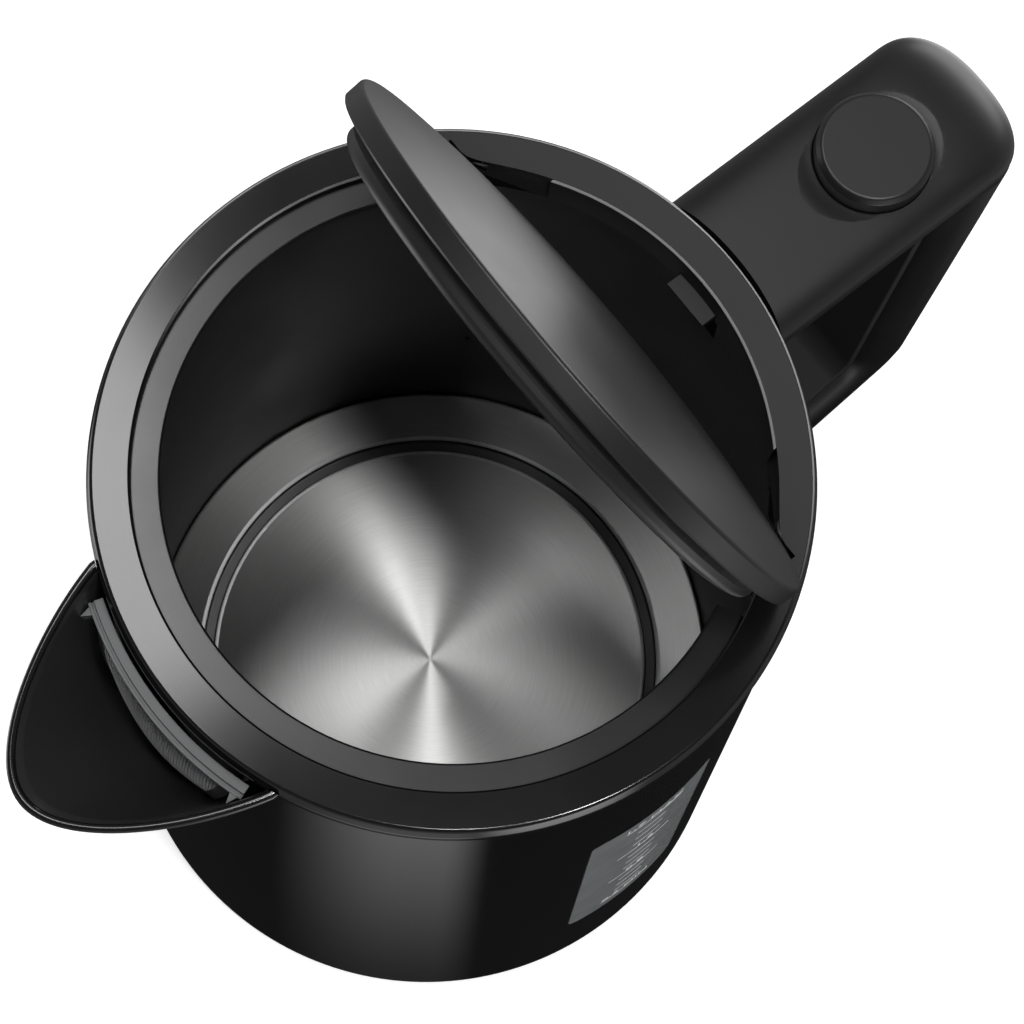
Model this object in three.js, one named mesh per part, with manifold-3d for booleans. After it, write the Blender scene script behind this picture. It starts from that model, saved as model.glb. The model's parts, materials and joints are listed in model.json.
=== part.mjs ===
// Cordless electric kettle, 1.7 litres: a double-walled plastic body on a steel heater plate, a
// sprung lid released by a button in the handle, a filtered spout and a D-shaped handle.
// Millimetres, +Z up. Every piece is drawn in the rim's frame: x = y = 0 on the kettle's own
// axis, z = 0 at the rim's top face, the handle along +X and the spout along -X.

import * as THREE from 'three';
import { mergeVertices } from 'three/addons/utils/BufferGeometryUtils.js';
import Module from 'manifold-3d';

// ---------------------------------------------------------------- driving sizes

const bodyHeight = 220; // lower edge of the body to the rim's top face
const footHeight = 2;
const rimRadius = 66.5; // outer radius of the rim's top face
const baseRadius = 74.7; // outer radius of the body's lower edge
const rimWidth = 7.3;
const rimDepth = 7; // height of the rim's side band
const rimBulge = 0.9; // how far the band stands out past the top face
const skirtDepth = 10; // the rim's inner skirt, inside the pot
const skirtWall = 1;
const shellWall = 2.2; // outer body
const potWall = 2.2;
const wallGap = 1.6; // air between the two walls
const clearance = 0.3; // between pieces that seat on each other
const runningClearance = 0.1; // round a pin that turns
const rimLip = 0.2; // the body starts this much inside the rim's top edge

const ledgeWidth = 5.36; // the lid's seat on the spout side
const ledgeDrop = 2;
const ledgeThickness = 2.5;
const ledgeHalfAngle = 115; // either side of the spout, degrees

const lidClearance = 0.6; // between the cap and the rim
const capBand = 4.3; // height of the cap's straight edge
const capDome = 4;
const capFillet = 1.2;
const capWall = 2.2;
const plugGap = 0.34; // between the plug and the ledge
const sealHalfAngle = 110; // lid seal, either side of the spout, degrees
const plugDepth = 4.7; // plug below the cap's band
const plugWall = 2;
const hingeX = 33.7;
const hingeDrop = 3.4; // hinge axis below the rim's top face
const lidOpenAngle = 70.4;
const hingePinRadius = 1.3;
const hingePinReach = 4.6; // pin beyond the rim's inner wall
const pinSeat = 5; // pin inside the plug
const springPocket = 3.6; // radius of the room round each hinge pin

const baseRoom = 37.3; // lower edge of the body to the heater plate's top
const plateSheet = 1.3;
const plateEdge = 7.3; // height of the plate's turned-down edge
const grooveInset = 13.37; // plate's edge to the middle of the groove
const grooveWidth = 2.95;
const grooveDepth = 1.5;
const gasketHeight = 2.7;
const shelfHeight = 4.6; // the pot's inward foot, which carries gasket and plate
const shelfWidth = 5.3;
const spreaderRadius = 45;
const spreaderThickness = 3;
const elementRadius = 36;
const elementTube = 3.2;
const elementDrop = 14; // the element's ends below its loop
const controlSize = 34;
const controlHeight = 12;
const socketRadius = 16;
const socketSlot = 9.5; // mean radius of the ring contact's slot
const socketSlotWidth = 3;
const contactRadius = 1.6;
const coverFloor = 2.4;
const coverWall = 2;
const coverRise = 14;
const screwInset = 7.6; // cover's edge to a screw's axis
const screwRadius = 1.5;
const screwHeadRadius = 3;
const bossRadius = 4.2;
const footInset = 14.2; // cover's edge to a foot's axis
const footRadius = 6;

const spoutReach = 99.2; // kettle axis to the tip of the spout
const spoutDrop = 1.5; // lip below the rim's top face
const spoutHeight = 63.5;
const spoutHalfWidth = 27.4;
const spoutRoot = 62.7; // where the half width is measured
const spoutFoot = 0.66; // share of the half width left at the beak's lower end
const spoutWall = 2;
const spoutBead = 0.8;

const filterHalfWidth = 23; // the flange at its top
const filterTopWidth = 21.5; // half the wall's width at its top
const filterFootWidth = 12;
const filterTop = 8;
const filterHeight = 44;
const filterFlange = 3.5;
const filterBulge = 4.5; // mesh beyond the outer body
const filterBar = 2.6;
const filterSheet = 1.2;
const meshSheet = 0.6;

const windowHalfWidth = 15.2;
const windowTop = 60;
const windowFoot = 9.7; // above the heater plate
const windowCorner = 3;
const windowOverlap = 1.6; // pot opening smaller than the window all round
const sealThickness = 0.9;

const handleHalfWidth = 17.1;
const coverTop = 0.5; // handle cover's crown below the rim's top face
const seamDrop = 13; // seam of the handle's cover
const handleReach = 59.9; // finger opening's front to the handle's back
const coverRearRadius = 12;
const coverRearInset = 13.7; // handle's back to the middle of the cover's rear round
const gripRound = 4.5;
const gripDepth = 20.4; // back strap, front to back
const gripBottom = 118; // where the strap turns towards the body
const gripWall = 2.4;
const toeInset = 7.7; // grip's outline begins this much inside the rim's inner wall
const spineFoot = 0.431; // spine's front clear of the body at its lower end
const strapGap = 2.5; // finger opening to the back strap's front
const openingTop = 15.6;
const openingFall = 20; // the opening's floor drops towards the body
const linerWall = 2.2;
const linerHalfWidth = 13.4;
const spineHalfWidth = 12.5;
const spineWall = 2;

const buttonInset = 30.7; // handle's back to the button's axis
const buttonRadius = 11.4;
const buttonRise = 4; // button above the rim's top face
const buttonFillet = 1;
const buttonTravel = 4;
const flangeRadius = 12.3;
const flangeDrop = 4.6; // flange below the rim's top face
const flangeThickness = 1.2;
const dishRadius = 14.3;
const dishDepth = 1.1;
const tongueHalfWidth = 5.2;
const tongueProud = 3.4; // tongue beyond the rim's inner wall
const latchTop = 7;
const latchThickness = 2.5;
const coilWire = 0.7;
const buttonSpringRadius = 3.8;
const latchSpringRadius = 1.4;
const lidSpringRadius = 2.4;
const steamSlotBottom = 25;

const leverInset = 1; // lever's axle in front of the finger opening's back
const leverDrop = 139.5;
const leverHalfWidth = 7;
const leverPinRadius = 1.5;
const leverHub = 3.4;
const pedalReach = 11; // the pedal, back and down from the axle
const pedalDrop = 17;
const tripReach = 17; // the trip arm, forward and down from the axle
const tripDrop = 12.5;
const cupStandoff = 2.3; // switch cup clear of the body
const cupRoom = 19; // switch cup's axis below the finger opening
const cupRadius = 5.4;
const cupDepth = 5;

// ---------------------------------------------------------------- values that follow

const rimInner = rimRadius - rimWidth;
const rimOuter = rimRadius + rimBulge;
const bodyTopRadius = rimRadius - rimLip;
const capRadius = rimInner - lidClearance;
const ledgeInner = rimInner - ledgeWidth;
const plugRadius = ledgeInner - plugGap;
const bandBottom = clearance - ledgeDrop;
const bandTop = bandBottom + capBand;
const plugBottom = bandBottom - plugDepth;
const bodyBottom = -bodyHeight;
const plateDepth = bodyHeight - baseRoom; // rim to the heater plate's top
const windowHeight = plateDepth - windowTop - windowFoot;
const shelfTop = -plateDepth - plateEdge - 2 * clearance - gasketHeight;
const shelfBottom = shelfTop - shelfHeight;
const latchX = rimInner - tongueProud;
const coilSteps = 8; // facets along one turn of a spring
const round = 48; // facets round the body
const small = 20; // facets round a small piece

const coneRadius = (z) => bodyTopRadius + ((baseRadius - bodyTopRadius) * -z) / bodyHeight;
const potOuter = (z) => coneRadius(z) - shellWall - wallGap;
const potInner = (z) => potOuter(z) - potWall;
const degrees = (angle) => (angle * Math.PI) / 180;

const coverEdge = baseRadius - shellWall - clearance; // base cover's lower edge
const screwCircle = coverEdge - screwInset;
const footCircle = coverEdge - footInset;
const grooveRadius = potInner(-plateDepth) - clearance - grooveInset;
const openingFront = coneRadius(-gripBottom - openingFall) + spineFoot;
const handleRear = openingFront + handleReach; // kettle axis to the handle's back
const coverRearCentre = handleRear - coverRearInset;
const gripFront = handleRear - gripDepth;
const openingRear = gripFront - strapGap;
const buttonX = handleRear - buttonInset;
const leverX = openingRear - leverInset;
const cupDrop = gripBottom + openingFall + cupRoom;
const cupX = coneRadius(-cupDrop) + cupStandoff;
const beyond = 2 * handleRear; // farther out than any piece, for cutters

// ---------------------------------------------------------------- solids

const wasm = await Module();
wasm.setup();

// A three.js geometry as a solid, with shared corners merged and its faces turned outwards.
function solid(geometry) {
  const bare = geometry.clone();
  bare.deleteAttribute('normal');
  bare.deleteAttribute('uv');
  const merged = mergeVertices(bare, 1e-4);
  const corners = merged.getAttribute('position');
  const faces = [];
  let volume = 0;
  const [a, b, c] = [new THREE.Vector3(), new THREE.Vector3(), new THREE.Vector3()];
  for (let i = 0; i < merged.index.count; i += 3) {
    const [p, q, r] = [0, 1, 2].map((k) => merged.index.getX(i + k));
    if (p === q || q === r || r === p) continue;
    a.fromBufferAttribute(corners, p);
    b.fromBufferAttribute(corners, q);
    c.fromBufferAttribute(corners, r);
    volume += a.dot(b.cross(c));
    faces.push([p, q, r]);
  }
  const turned = volume < 0 ? faces.map(([p, q, r]) => [p, r, q]) : faces;
  const mesh = new wasm.Mesh({
    numProp: 3,
    vertProperties: new Float32Array(corners.array),
    triVerts: new Uint32Array(turned.flat()),
  });
  return new wasm.Manifold(mesh);
}

// A closed profile of [radius, z] points turned about the Z axis.
function revolve(profile, segments = round) {
  const points = profile.map(([r, z]) => new THREE.Vector2(r, z));
  if (profile[0][0] > 0 || profile.at(-1)[0] > 0) points.push(points[0].clone());
  return solid(new THREE.LatheGeometry(points, segments).rotateX(Math.PI / 2));
}

function ring(inner, outer, low, high, segments = round) {
  return revolve([[inner, low], [outer, low], [outer, high], [inner, high]], segments);
}

function disc(radius, low, high, segments = small) {
  return revolve([[0, low], [radius, low], [radius, high], [0, high]], segments);
}

// A disc whose axis lies along Y, through x and z.
function crossPin(radius, from, to, x, z, segments = small) {
  return disc(radius, from, to, segments).rotate([-90, 0, 0]).translate([x, 0, z]);
}

function block(low, high) {
  const size = high.map((value, i) => value - low[i]);
  const middle = high.map((value, i) => (value + low[i]) / 2);
  return solid(new THREE.BoxGeometry(...size).translate(...middle));
}

// A polygon with rounded corners, as a shape: points are [u, v, radius].
function rounded(points) {
  const shape = new THREE.Shape();
  points.forEach(([u, v, radius = 0], i) => {
    const corner = new THREE.Vector2(u, v);
    const [before, after] = [points.at(i - 1), points[(i + 1) % points.length]].map(
      ([x, y]) => new THREE.Vector2(x, y).sub(corner).normalize().multiplyScalar(radius).add(corner),
    );
    if (i === 0) shape.moveTo(before.x, before.y);
    else shape.lineTo(before.x, before.y);
    if (radius > 0) shape.quadraticCurveTo(u, v, after.x, after.y);
  });
  shape.closePath();
  return shape;
}

// A shape drawn in plan and raised from low to high.
function plate(shape, low, high) {
  const geometry = new THREE.ExtrudeGeometry(shape, {
    depth: high - low,
    bevelEnabled: false,
    curveSegments: 5,
  });
  return solid(geometry.translate(0, 0, low));
}

// A shape drawn in side view, x across and z up, and as wide as two half widths along Y.
function sideways(shape, halfWidth, edge = 0) {
  const geometry = new THREE.ExtrudeGeometry(shape, {
    depth: 2 * (halfWidth - edge),
    bevelEnabled: edge > 0,
    bevelThickness: edge,
    bevelSize: edge,
    bevelOffset: -edge,
    bevelSegments: 3,
    curveSegments: 4,
  });
  return solid(geometry.rotateX(Math.PI / 2).translate(0, halfWidth - edge, 0));
}

// A pie slice about the Z axis, from one azimuth to another in degrees.
function slice(from, to, radius, low, high) {
  const shape = new THREE.Shape();
  const reach = radius / Math.cos(degrees((to - from) / 12));
  shape.moveTo(0, 0);
  for (let i = 0; i <= 6; i += 1) {
    const angle = degrees(from + ((to - from) * i) / 6);
    shape.lineTo(reach * Math.cos(angle), reach * Math.sin(angle));
  }
  shape.closePath();
  return plate(shape, low, high);
}

// Outlines of equal length, one over the other, joined by a skin and closed at both ends.
function loft(levels) {
  const count = levels[0].points.length;
  const corners = levels.flatMap(({ z, points }) => points.map(([x, y]) => [x, y, z]));
  const faces = [];
  for (let level = 0; level < levels.length - 1; level += 1) {
    for (let i = 0; i < count; i += 1) {
      const [p, q] = [level * count + i, level * count + ((i + 1) % count)];
      faces.push(p, q, q + count, p, q + count, p + count);
    }
  }
  for (const [level, flip] of [[0, true], [levels.length - 1, false]]) {
    const outline = levels[level].points.map(([x, y]) => new THREE.Vector2(x, y));
    for (const [p, q, r] of THREE.ShapeUtils.triangulateShape(outline, [])) {
      const [a, b, c] = [p, q, r].map((i) => level * count + i);
      faces.push(...(flip ? [a, c, b] : [a, b, c]));
    }
  }
  const geometry = new THREE.BufferGeometry();
  geometry.setAttribute('position', new THREE.Float32BufferAttribute(corners.flat(), 3));
  geometry.setIndex(faces);
  return solid(geometry);
}

// A coil spring along +Z from 0 to its length.
function coil(radius, wire, length, turns) {
  const points = [];
  const steps = turns * coilSteps;
  for (let i = 0; i <= steps; i += 1) {
    const angle = (i / coilSteps) * 2 * Math.PI;
    const rise = wire / 2 + ((length - wire) * i) / steps;
    points.push(new THREE.Vector3(radius * Math.cos(angle), radius * Math.sin(angle), rise));
  }
  const section = new THREE.Shape();
  section.absarc(0, 0, wire / 2, 0, 2 * Math.PI);
  const geometry = new THREE.ExtrudeGeometry(section, {
    steps,
    extrudePath: new THREE.CatmullRomCurve3(points),
    curveSegments: 2,
  });
  return solid(geometry);
}

// What the body takes up, with room round it, from one height to another.
function bodyRoom(gap, low, high) {
  return revolve([[0, low], [coneRadius(low) + gap, low], [coneRadius(high) + gap, high], [0, high]]);
}

// ---------------------------------------------------------------- body

function tubeWall(outerAt, wall, low, high) {
  return revolve([
    [outerAt(low) - wall, low],
    [outerAt(low), low],
    [outerAt(high), high],
    [outerAt(high) - wall, high],
  ]);
}

function windowCutter(margin) {
  const [side, top] = [windowHalfWidth + margin, -windowTop + margin];
  const bottom = -windowTop - windowHeight - margin;
  const shape = rounded([
    [-side, bottom, windowCorner],
    [side, bottom, windowCorner],
    [side, top, windowCorner],
    [-side, top, windowCorner],
  ]);
  return sideways(shape, baseRadius).translate([0, -baseRadius - 1, 0]);
}

// The hole for water behind the spout.
function spoutCutter(margin) {
  const [top, low] = [-rimDepth + 1, -filterTop - filterHeight - margin];
  const [wide, narrow] = [filterTopWidth + margin, filterFootWidth + margin];
  const shape = rounded([[-narrow, low, 4], [narrow, low, 4], [wide, top], [-wide, top]]);
  return sideways(shape, baseRadius).rotate([0, 0, 90]).translate([-baseRadius - rimInner / 2, 0, 0]);
}

// The hole for the latch, over the slot that lets steam into the handle.
function latchCutter(margin) {
  const side = tongueHalfWidth + clearance + margin;
  const low = -steamSlotBottom - margin;
  return block([rimInner / 2, -side, low], [rimOuter + 8, side, -latchTop + clearance]);
}

function outerBody() {
  const shell = tubeWall(coneRadius, shellWall, bodyBottom, -rimDepth - clearance);
  return shell
    .subtract(windowCutter(clearance))
    .subtract(spoutCutter(clearance))
    .subtract(latchCutter(0));
}

function innerPot() {
  const top = -rimDepth - clearance;
  const shelf = potInner(shelfTop) - shelfWidth;
  const pot = revolve([
    [shelf, shelfBottom],
    [potOuter(shelfBottom), shelfBottom],
    [potOuter(top), top],
    [potInner(top), top],
    [potInner(shelfTop), shelfTop],
    [shelf, shelfTop],
  ]);
  let cut = pot
    .subtract(windowCutter(-windowOverlap))
    .subtract(spoutCutter(clearance))
    .subtract(latchCutter(0));
  for (const angle of screwAngles) {
    cut = cut.subtract(disc(screwRadius + clearance, shelfBottom - 1, shelfTop - 1, 16)
      .translate(polar(screwCircle, angle)));
  }
  return cut;
}

// The room that the cap's rear edge sweeps through beside each hinge pin.
function hingeRelief() {
  const reach = (y) => {
    const chord = Math.max(Math.sqrt(capRadius ** 2 - y ** 2) - hingeX, 0);
    return Math.hypot(chord, bandTop + hingeDrop) + 2 * clearance;
  };
  const profile = [[0, 33]];
  for (let y = 33; y <= 51; y += 3) profile.push([reach(y), y]);
  profile.push([0, 51]);
  const spindle = revolve(profile, 20).rotate([-90, 0, 0]).translate([hingeX, 0, -hingeDrop]);
  return spindle.add(spindle.mirror([0, 1, 0]));
}

function rimRing() {
  const bevel = 0.6;
  const band = revolve([
    [rimInner, -skirtDepth],
    [rimInner + skirtWall, -skirtDepth],
    [rimInner + skirtWall, -rimDepth],
    [rimOuter - 0.2, -rimDepth],
    [rimOuter, -0.4 * rimDepth],
    [rimOuter - 0.3, -bevel],
    [rimRadius, 0],
    [rimInner + bevel, 0],
    [rimInner, -bevel],
  ]);
  const ledge = ring(ledgeInner, rimInner + skirtWall / 2, -ledgeDrop - ledgeThickness, -ledgeDrop);
  const seat = ledge.intersect(
    slice(180 - ledgeHalfAngle, 180 + ledgeHalfAngle, rimOuter, -skirtDepth, 0),
  );
  const bore = crossPin(hingePinRadius + runningClearance, -lidPinEnd - clearance,
    lidPinEnd + clearance, hingeX, -hingeDrop);
  return band.add(seat).subtract(hingeRelief()).subtract(bore).subtract(latchCutter(0));
}

function waterWindow() {
  const thickness = shellWall + clearance;
  const pane = tubeWall(coneRadius, thickness, bodyBottom, -rimDepth);
  return pane.intersect(windowCutter(0));
}

function windowSeal() {
  const outside = (z) => coneRadius(z) - shellWall - 2 * clearance;
  const sheet = tubeWall(outside, sealThickness, bodyBottom, -rimDepth);
  return sheet.intersect(windowCutter(0)).subtract(windowCutter(-windowOverlap));
}

// ---------------------------------------------------------------- spout and filter

// Half of the beak's outline at a level, from the tip back to the body, as a cubic curve.
function beakOutline(reach, halfWidth, root) {
  const length = reach - root;
  const curve = new THREE.CubicBezierCurve(
    new THREE.Vector2(-reach, 0),
    new THREE.Vector2(-reach, 0.385 * halfWidth),
    new THREE.Vector2(-root - 0.41 * length, 0.84 * halfWidth),
    new THREE.Vector2(-root, halfWidth),
  );
  const side = curve.getPoints(12).map(({ x, y }) => [x, y]);
  const back = [-root + 14, halfWidth];
  const half = [...side, back];
  return [...half.slice(1).reverse(), ...half.map(([x, y]) => [x, -y])];
}

// The beak as a solid body, drawn in by the given amount all round.
function beak(inset, low, bead) {
  const levels = [];
  const lip = -spoutDrop;
  const fractions = [0, 0.012, 0.035, 0.06, 0.12, 0.2, 0.32, 0.46, 0.62, 0.8, 1];
  for (const fraction of fractions.toReversed()) {
    const depth = fraction * (spoutHeight - low);
    const left = 1 - depth / spoutHeight;
    const beadOut = fraction < 0.04 ? bead * (fraction > 0.005 ? 1 : 0.4) : 0;
    const wallRadius = coneRadius(lip - depth);
    const reach = wallRadius + (spoutReach - wallRadius) * left ** 1.25 - inset - bead + beadOut;
    const share = spoutFoot + (1 - spoutFoot) * left ** 0.9;
    const halfWidth = spoutHalfWidth * share - inset - bead + beadOut;
    levels.push({ z: lip - depth, points: beakOutline(reach, halfWidth, spoutRoot) });
  }
  return loft(levels);
}

function spout() {
  const inner = beak(spoutWall - spoutBead, spoutWall, 0);
  const above = inner.translate([0, 0, 2]);
  const shell = beak(0, 0, spoutBead).subtract(inner).subtract(above);
  const rimRoom = ring(1, rimOuter + clearance, -rimDepth - clearance, 1);
  const filterRoom = filterWall(filterSheet + 2 * clearance, -clearance).intersect(spoutCutter(0));
  return shell
    .subtract(rimRoom)
    .subtract(filterRoom)
    .subtract(bodyRoom(clearance, bodyBottom, 1 - rimDepth));
}

// The filter's curved wall, swept round the body: out at the top and in at the foot.
function filterWall(thickness, back) {
  const top = -filterTop;
  const path = [0, 0.2, 0.45, 0.75, 1].map((t) => {
    const z = top - t * filterHeight;
    const out = filterBulge * Math.sin(Math.PI * (0.12 + 0.88 * t ** 1.4)) ** 0.8;
    return [rimOuter + out - back, z];
  });
  const outside = path.map(([r, z]) => [r, z]);
  const inside = path.map(([r, z]) => [r - thickness, z]).reverse();
  return revolve([...outside, ...inside], 2 * round);
}

function filterFrame() {
  const top = -filterTop;
  const wall = filterWall(filterSheet, 0).intersect(spoutCutter(-clearance));
  const hole = spoutCutter(-clearance - filterBar).intersect(
    block([-baseRadius - 10, -filterHalfWidth, bodyBottom], [0, filterHalfWidth, top - filterBar]),
  );
  const seat = coneRadius(top) + clearance;
  const flange = ring(seat, rimOuter + filterFlange, top - filterSheet, top)
    .intersect(block([-baseRadius, -filterHalfWidth, -20], [0, filterHalfWidth, 0]));
  let frame = wall.subtract(hole).add(flange);
  const x = -Math.sqrt((rimOuter + filterFlange) ** 2 - (filterHalfWidth - 2) ** 2);
  for (const side of [-1, 1]) {
    const hook = plate(rounded([[0, -1.3], [1.2, -1.3], [1.2, 1.3], [-2.2, 0.8]]), top - 3.5, top);
    frame = frame.add(hook.translate([x + 1, side * (filterHalfWidth - 2), -filterSheet / 2]));
  }
  return frame;
}

function filterMesh() {
  const top = -filterTop - filterBar - clearance;
  return filterWall(meshSheet, clearance)
    .intersect(spoutCutter(-2 * clearance - filterBar))
    .intersect(block([-baseRadius - 10, -filterHalfWidth, bodyBottom], [0, filterHalfWidth, top]));
}

// ---------------------------------------------------------------- lid, drawn closed

const lidPinEnd = Math.sqrt(rimInner ** 2 - hingeX ** 2) + hingePinReach;
const plugSide = Math.sqrt(plugRadius ** 2 - hingeX ** 2);

function domeProfile(radius, edge, top, dome, fillet) {
  const points = [[radius, edge], [radius, top - fillet]];
  points.push([radius - 0.3 * fillet, top - 0.3 * fillet]);
  const shoulder = radius - fillet;
  for (let i = 0; i <= 4; i += 1) {
    const angle = (i / 4) * (Math.PI / 2);
    points.push([shoulder * Math.cos(angle), top + dome * Math.sin(angle)]);
  }
  return points;
}

// The notch that lets the lid's edge pass the latch's tongue.
function tongueNotch() {
  const side = tongueHalfWidth + 1.3 * clearance;
  return block([latchX - 1.3 * clearance, -side, -20], [rimOuter, side, 20]);
}

function lidCap() {
  const outside = revolve([[0, bandBottom], ...domeProfile(capRadius, bandBottom, bandTop,
    capDome, capFillet)]);
  const inside = revolve([[0, bandBottom - 1], ...domeProfile(plugRadius - 2, bandBottom - 1,
    bandTop - capWall, capDome, capFillet)]);
  let cap = outside.subtract(inside);
  for (const side of [1, -1]) {
    const [from, to] = [plugSide - pinSeat, rimInner].map((y) => side * y);
    cap = cap.subtract(crossPin(springPocket, Math.min(from, to), Math.max(from, to), hingeX,
      -hingeDrop));
  }
  return cap.subtract(tongueNotch());
}

function lidPlug() {
  const corner = 1.2;
  const top = bandBottom - clearance;
  const cup = revolve([
    [0, plugBottom],
    [plugRadius - corner, plugBottom],
    [plugRadius, plugBottom + corner],
    [plugRadius, top],
    [plugRadius - 3, top],
    [plugRadius - 3, plugBottom + plugWall],
    [0, plugBottom + plugWall],
  ]);
  const keeper = block([plugRadius - 2, -tongueHalfWidth + 0.4, plugBottom],
    [latchX - 1.3 * clearance, tongueHalfWidth - 0.4, top]);
  let plug = cup.add(keeper);
  for (const side of [1, -1]) {
    const [near, far] = [plugSide - pinSeat - 1.5, plugSide];
    const cheek = block([hingeX - 3.4, Math.min(side * near, side * far), plugBottom],
      [hingeX + 3.4, Math.max(side * near, side * far), top]);
    const [from, to] = [plugSide - pinSeat, rimOuter].map((y) => side * y);
    const bore = crossPin(hingePinRadius + runningClearance, Math.min(from, to),
      Math.max(from, to), hingeX, -hingeDrop);
    plug = plug.add(cheek).subtract(bore);
  }
  return plug;
}

function lidSeal() {
  const [low, high] = [bandBottom - 2.1, bandBottom - 0.9];
  const lip = 0.1;
  return ring(plugRadius + 0.02, plugRadius + plugGap - lip, low, high)
    .intersect(slice(180 - sealHalfAngle, 180 + sealHalfAngle, rimOuter, low - 1, high + 1));
}

function lidPin(side) {
  const [from, to] = [plugSide - pinSeat + clearance, lidPinEnd].map((y) => side * y);
  return crossPin(hingePinRadius, Math.min(from, to), Math.max(from, to), hingeX, -hingeDrop);
}

function lidSpring() {
  const from = Math.sqrt(plugRadius ** 2 - (hingeX - lidSpringRadius - coilWire) ** 2) + clearance;
  const to = Math.sqrt(rimInner ** 2 - hingeX ** 2);
  return coil(lidSpringRadius, coilWire, to - from, 4)
    .rotate([-90, 0, 0])
    .translate([hingeX, from, -hingeDrop]);
}

// ---------------------------------------------------------------- base

const screwAngles = [0, 120, 240];
const footAngles = [45, 135, 225, 315];

function polar(radius, angle, z = 0) {
  return [radius * Math.cos(degrees(angle)), radius * Math.sin(degrees(angle)), z];
}

function basePlate() {
  const top = -plateDepth;
  const under = top - plateSheet;
  const edge = potInner(top) - clearance;
  const [near, far] = [grooveRadius - grooveWidth / 2, grooveRadius + grooveWidth / 2];
  const slope = 0.5;
  return revolve([
    [0, under],
    [near - 0.8, under],
    [near - 0.2, under - grooveDepth],
    [far + 0.2, under - grooveDepth],
    [far + 0.8, under],
    [edge - plateSheet, under],
    [edge - plateSheet, top - plateEdge],
    [edge, top - plateEdge],
    [edge, top - 0.5],
    [edge - 0.5, top],
    [far, top],
    [far - slope, top - grooveDepth],
    [near + slope, top - grooveDepth],
    [near, top],
    [0, top],
  ]);
}

function plateGasket() {
  const outer = potInner(-plateDepth) - clearance;
  const high = shelfTop + clearance + gasketHeight;
  return ring(outer - 3, outer, shelfTop + clearance, high);
}

const spreaderTop = -plateDepth - plateSheet - clearance;
const spreaderBottom = spreaderTop - spreaderThickness;

function heatSpreader() {
  return disc(spreaderRadius, spreaderBottom, spreaderTop, round);
}

function heatingElement() {
  const z = spreaderBottom - clearance - elementTube;
  const [start, end] = [-150, 150];
  const points = [];
  for (let i = 0; i <= 20; i += 1) {
    const place = polar(elementRadius, start + ((end - start) * i) / 20, z);
    points.push(new THREE.Vector3(...place));
  }
  for (const [angle, add] of [[start, 'unshift'], [end, 'push']]) {
    for (const drop of [elementDrop / 5, (elementDrop * 2) / 3, elementDrop]) {
      const bend = angle + Math.sign(angle) * (drop > elementTube ? 6 : 4);
      points[add](new THREE.Vector3(...polar(elementRadius, bend, z - drop)));
    }
  }
  const section = new THREE.Shape();
  section.absarc(0, 0, elementTube, 0, 2 * Math.PI);
  return solid(new THREE.ExtrudeGeometry(section, {
    steps: 28,
    extrudePath: new THREE.CatmullRomCurve3(points),
    curveSegments: 4,
  }));
}

const controlTop = spreaderBottom - clearance;
const socketTop = controlTop - controlHeight - clearance;
const socketBottom = bodyBottom + 1;

function controlUnit() {
  const half = controlSize / 2;
  const corner = 4;
  return plate(rounded([
    [-half, -half, corner],
    [half, -half, corner],
    [half, half, corner],
    [-half, half, corner],
  ]), controlTop - controlHeight, controlTop);
}

function connectorSocket() {
  const slotLow = socketSlot - socketSlotWidth / 2;
  const body = disc(socketRadius, socketBottom, socketTop, 32);
  const deep = socketTop - 3;
  return body
    .subtract(ring(slotLow, slotLow + socketSlotWidth, socketBottom - 1, deep, 32))
    .subtract(disc(contactRadius + 2, socketBottom - 1, deep, small));
}

function contactPin() {
  return disc(contactRadius, socketBottom + 3, socketTop - 3 - clearance, 16);
}

function baseCover() {
  const outer = coneRadius(bodyBottom) - shellWall - clearance;
  const rise = bodyBottom + coverRise;
  const floor = bodyBottom + coverFloor;
  const upper = coneRadius(rise) - shellWall - clearance;
  const hole = socketRadius + clearance;
  let cover = revolve([
    [hole, bodyBottom + coverFloor + 6],
    [hole, bodyBottom + 2],
    [hole + 2, bodyBottom],
    [outer, bodyBottom],
    [upper, rise],
    [upper - coverWall, rise],
    [outer - coverWall - 0.4, floor],
    [hole + coverWall + 1.5, floor],
    [hole + coverWall, bodyBottom + coverFloor + 6],
  ]);
  for (const angle of screwAngles) {
    const boss = disc(bossRadius, floor - 0.5, shelfBottom - clearance, 16);
    const bore = disc(screwRadius + clearance, bodyBottom - 1, shelfBottom + 1, 12);
    const head = disc(screwHeadRadius + clearance, bodyBottom - 1, bodyBottom + 3.4, 16);
    const place = polar(screwCircle, angle);
    cover = cover.add(boss.translate(place));
    cover = cover.subtract(bore.translate(place)).subtract(head.translate(place));
  }
  for (const angle of footAngles) {
    const hole = disc(2.2 + clearance, bodyBottom - 1, floor + 1, 12);
    cover = cover.subtract(hole.translate(polar(footCircle, angle)));
  }
  return cover;
}

function baseScrew() {
  const headLow = bodyBottom + 1.2;
  const headHigh = bodyBottom + 3.4 - clearance;
  const slot = block([-0.5, -screwHeadRadius, headLow - 1], [0.5, screwHeadRadius, headLow + 0.8]);
  return disc(screwHeadRadius, headLow, headHigh, 20)
    .add(disc(screwRadius, headHigh - 0.5, shelfTop - 1 - clearance, 12))
    .subtract(slot);
}

function foot() {
  const low = bodyBottom - footHeight;
  const high = bodyBottom - clearance;
  return revolve([
    [0, low],
    [footRadius - 0.6, low],
    [footRadius, low + 0.6],
    [footRadius, high],
    [2.2, high],
    [2.2, bodyBottom + coverFloor],
    [0, bodyBottom + coverFloor],
  ], 16);
}

// ---------------------------------------------------------------- handle

const coverLevels = [seamDrop, 10.5, 8, 5, 3, 1.7, 0.9, coverTop];

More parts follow.
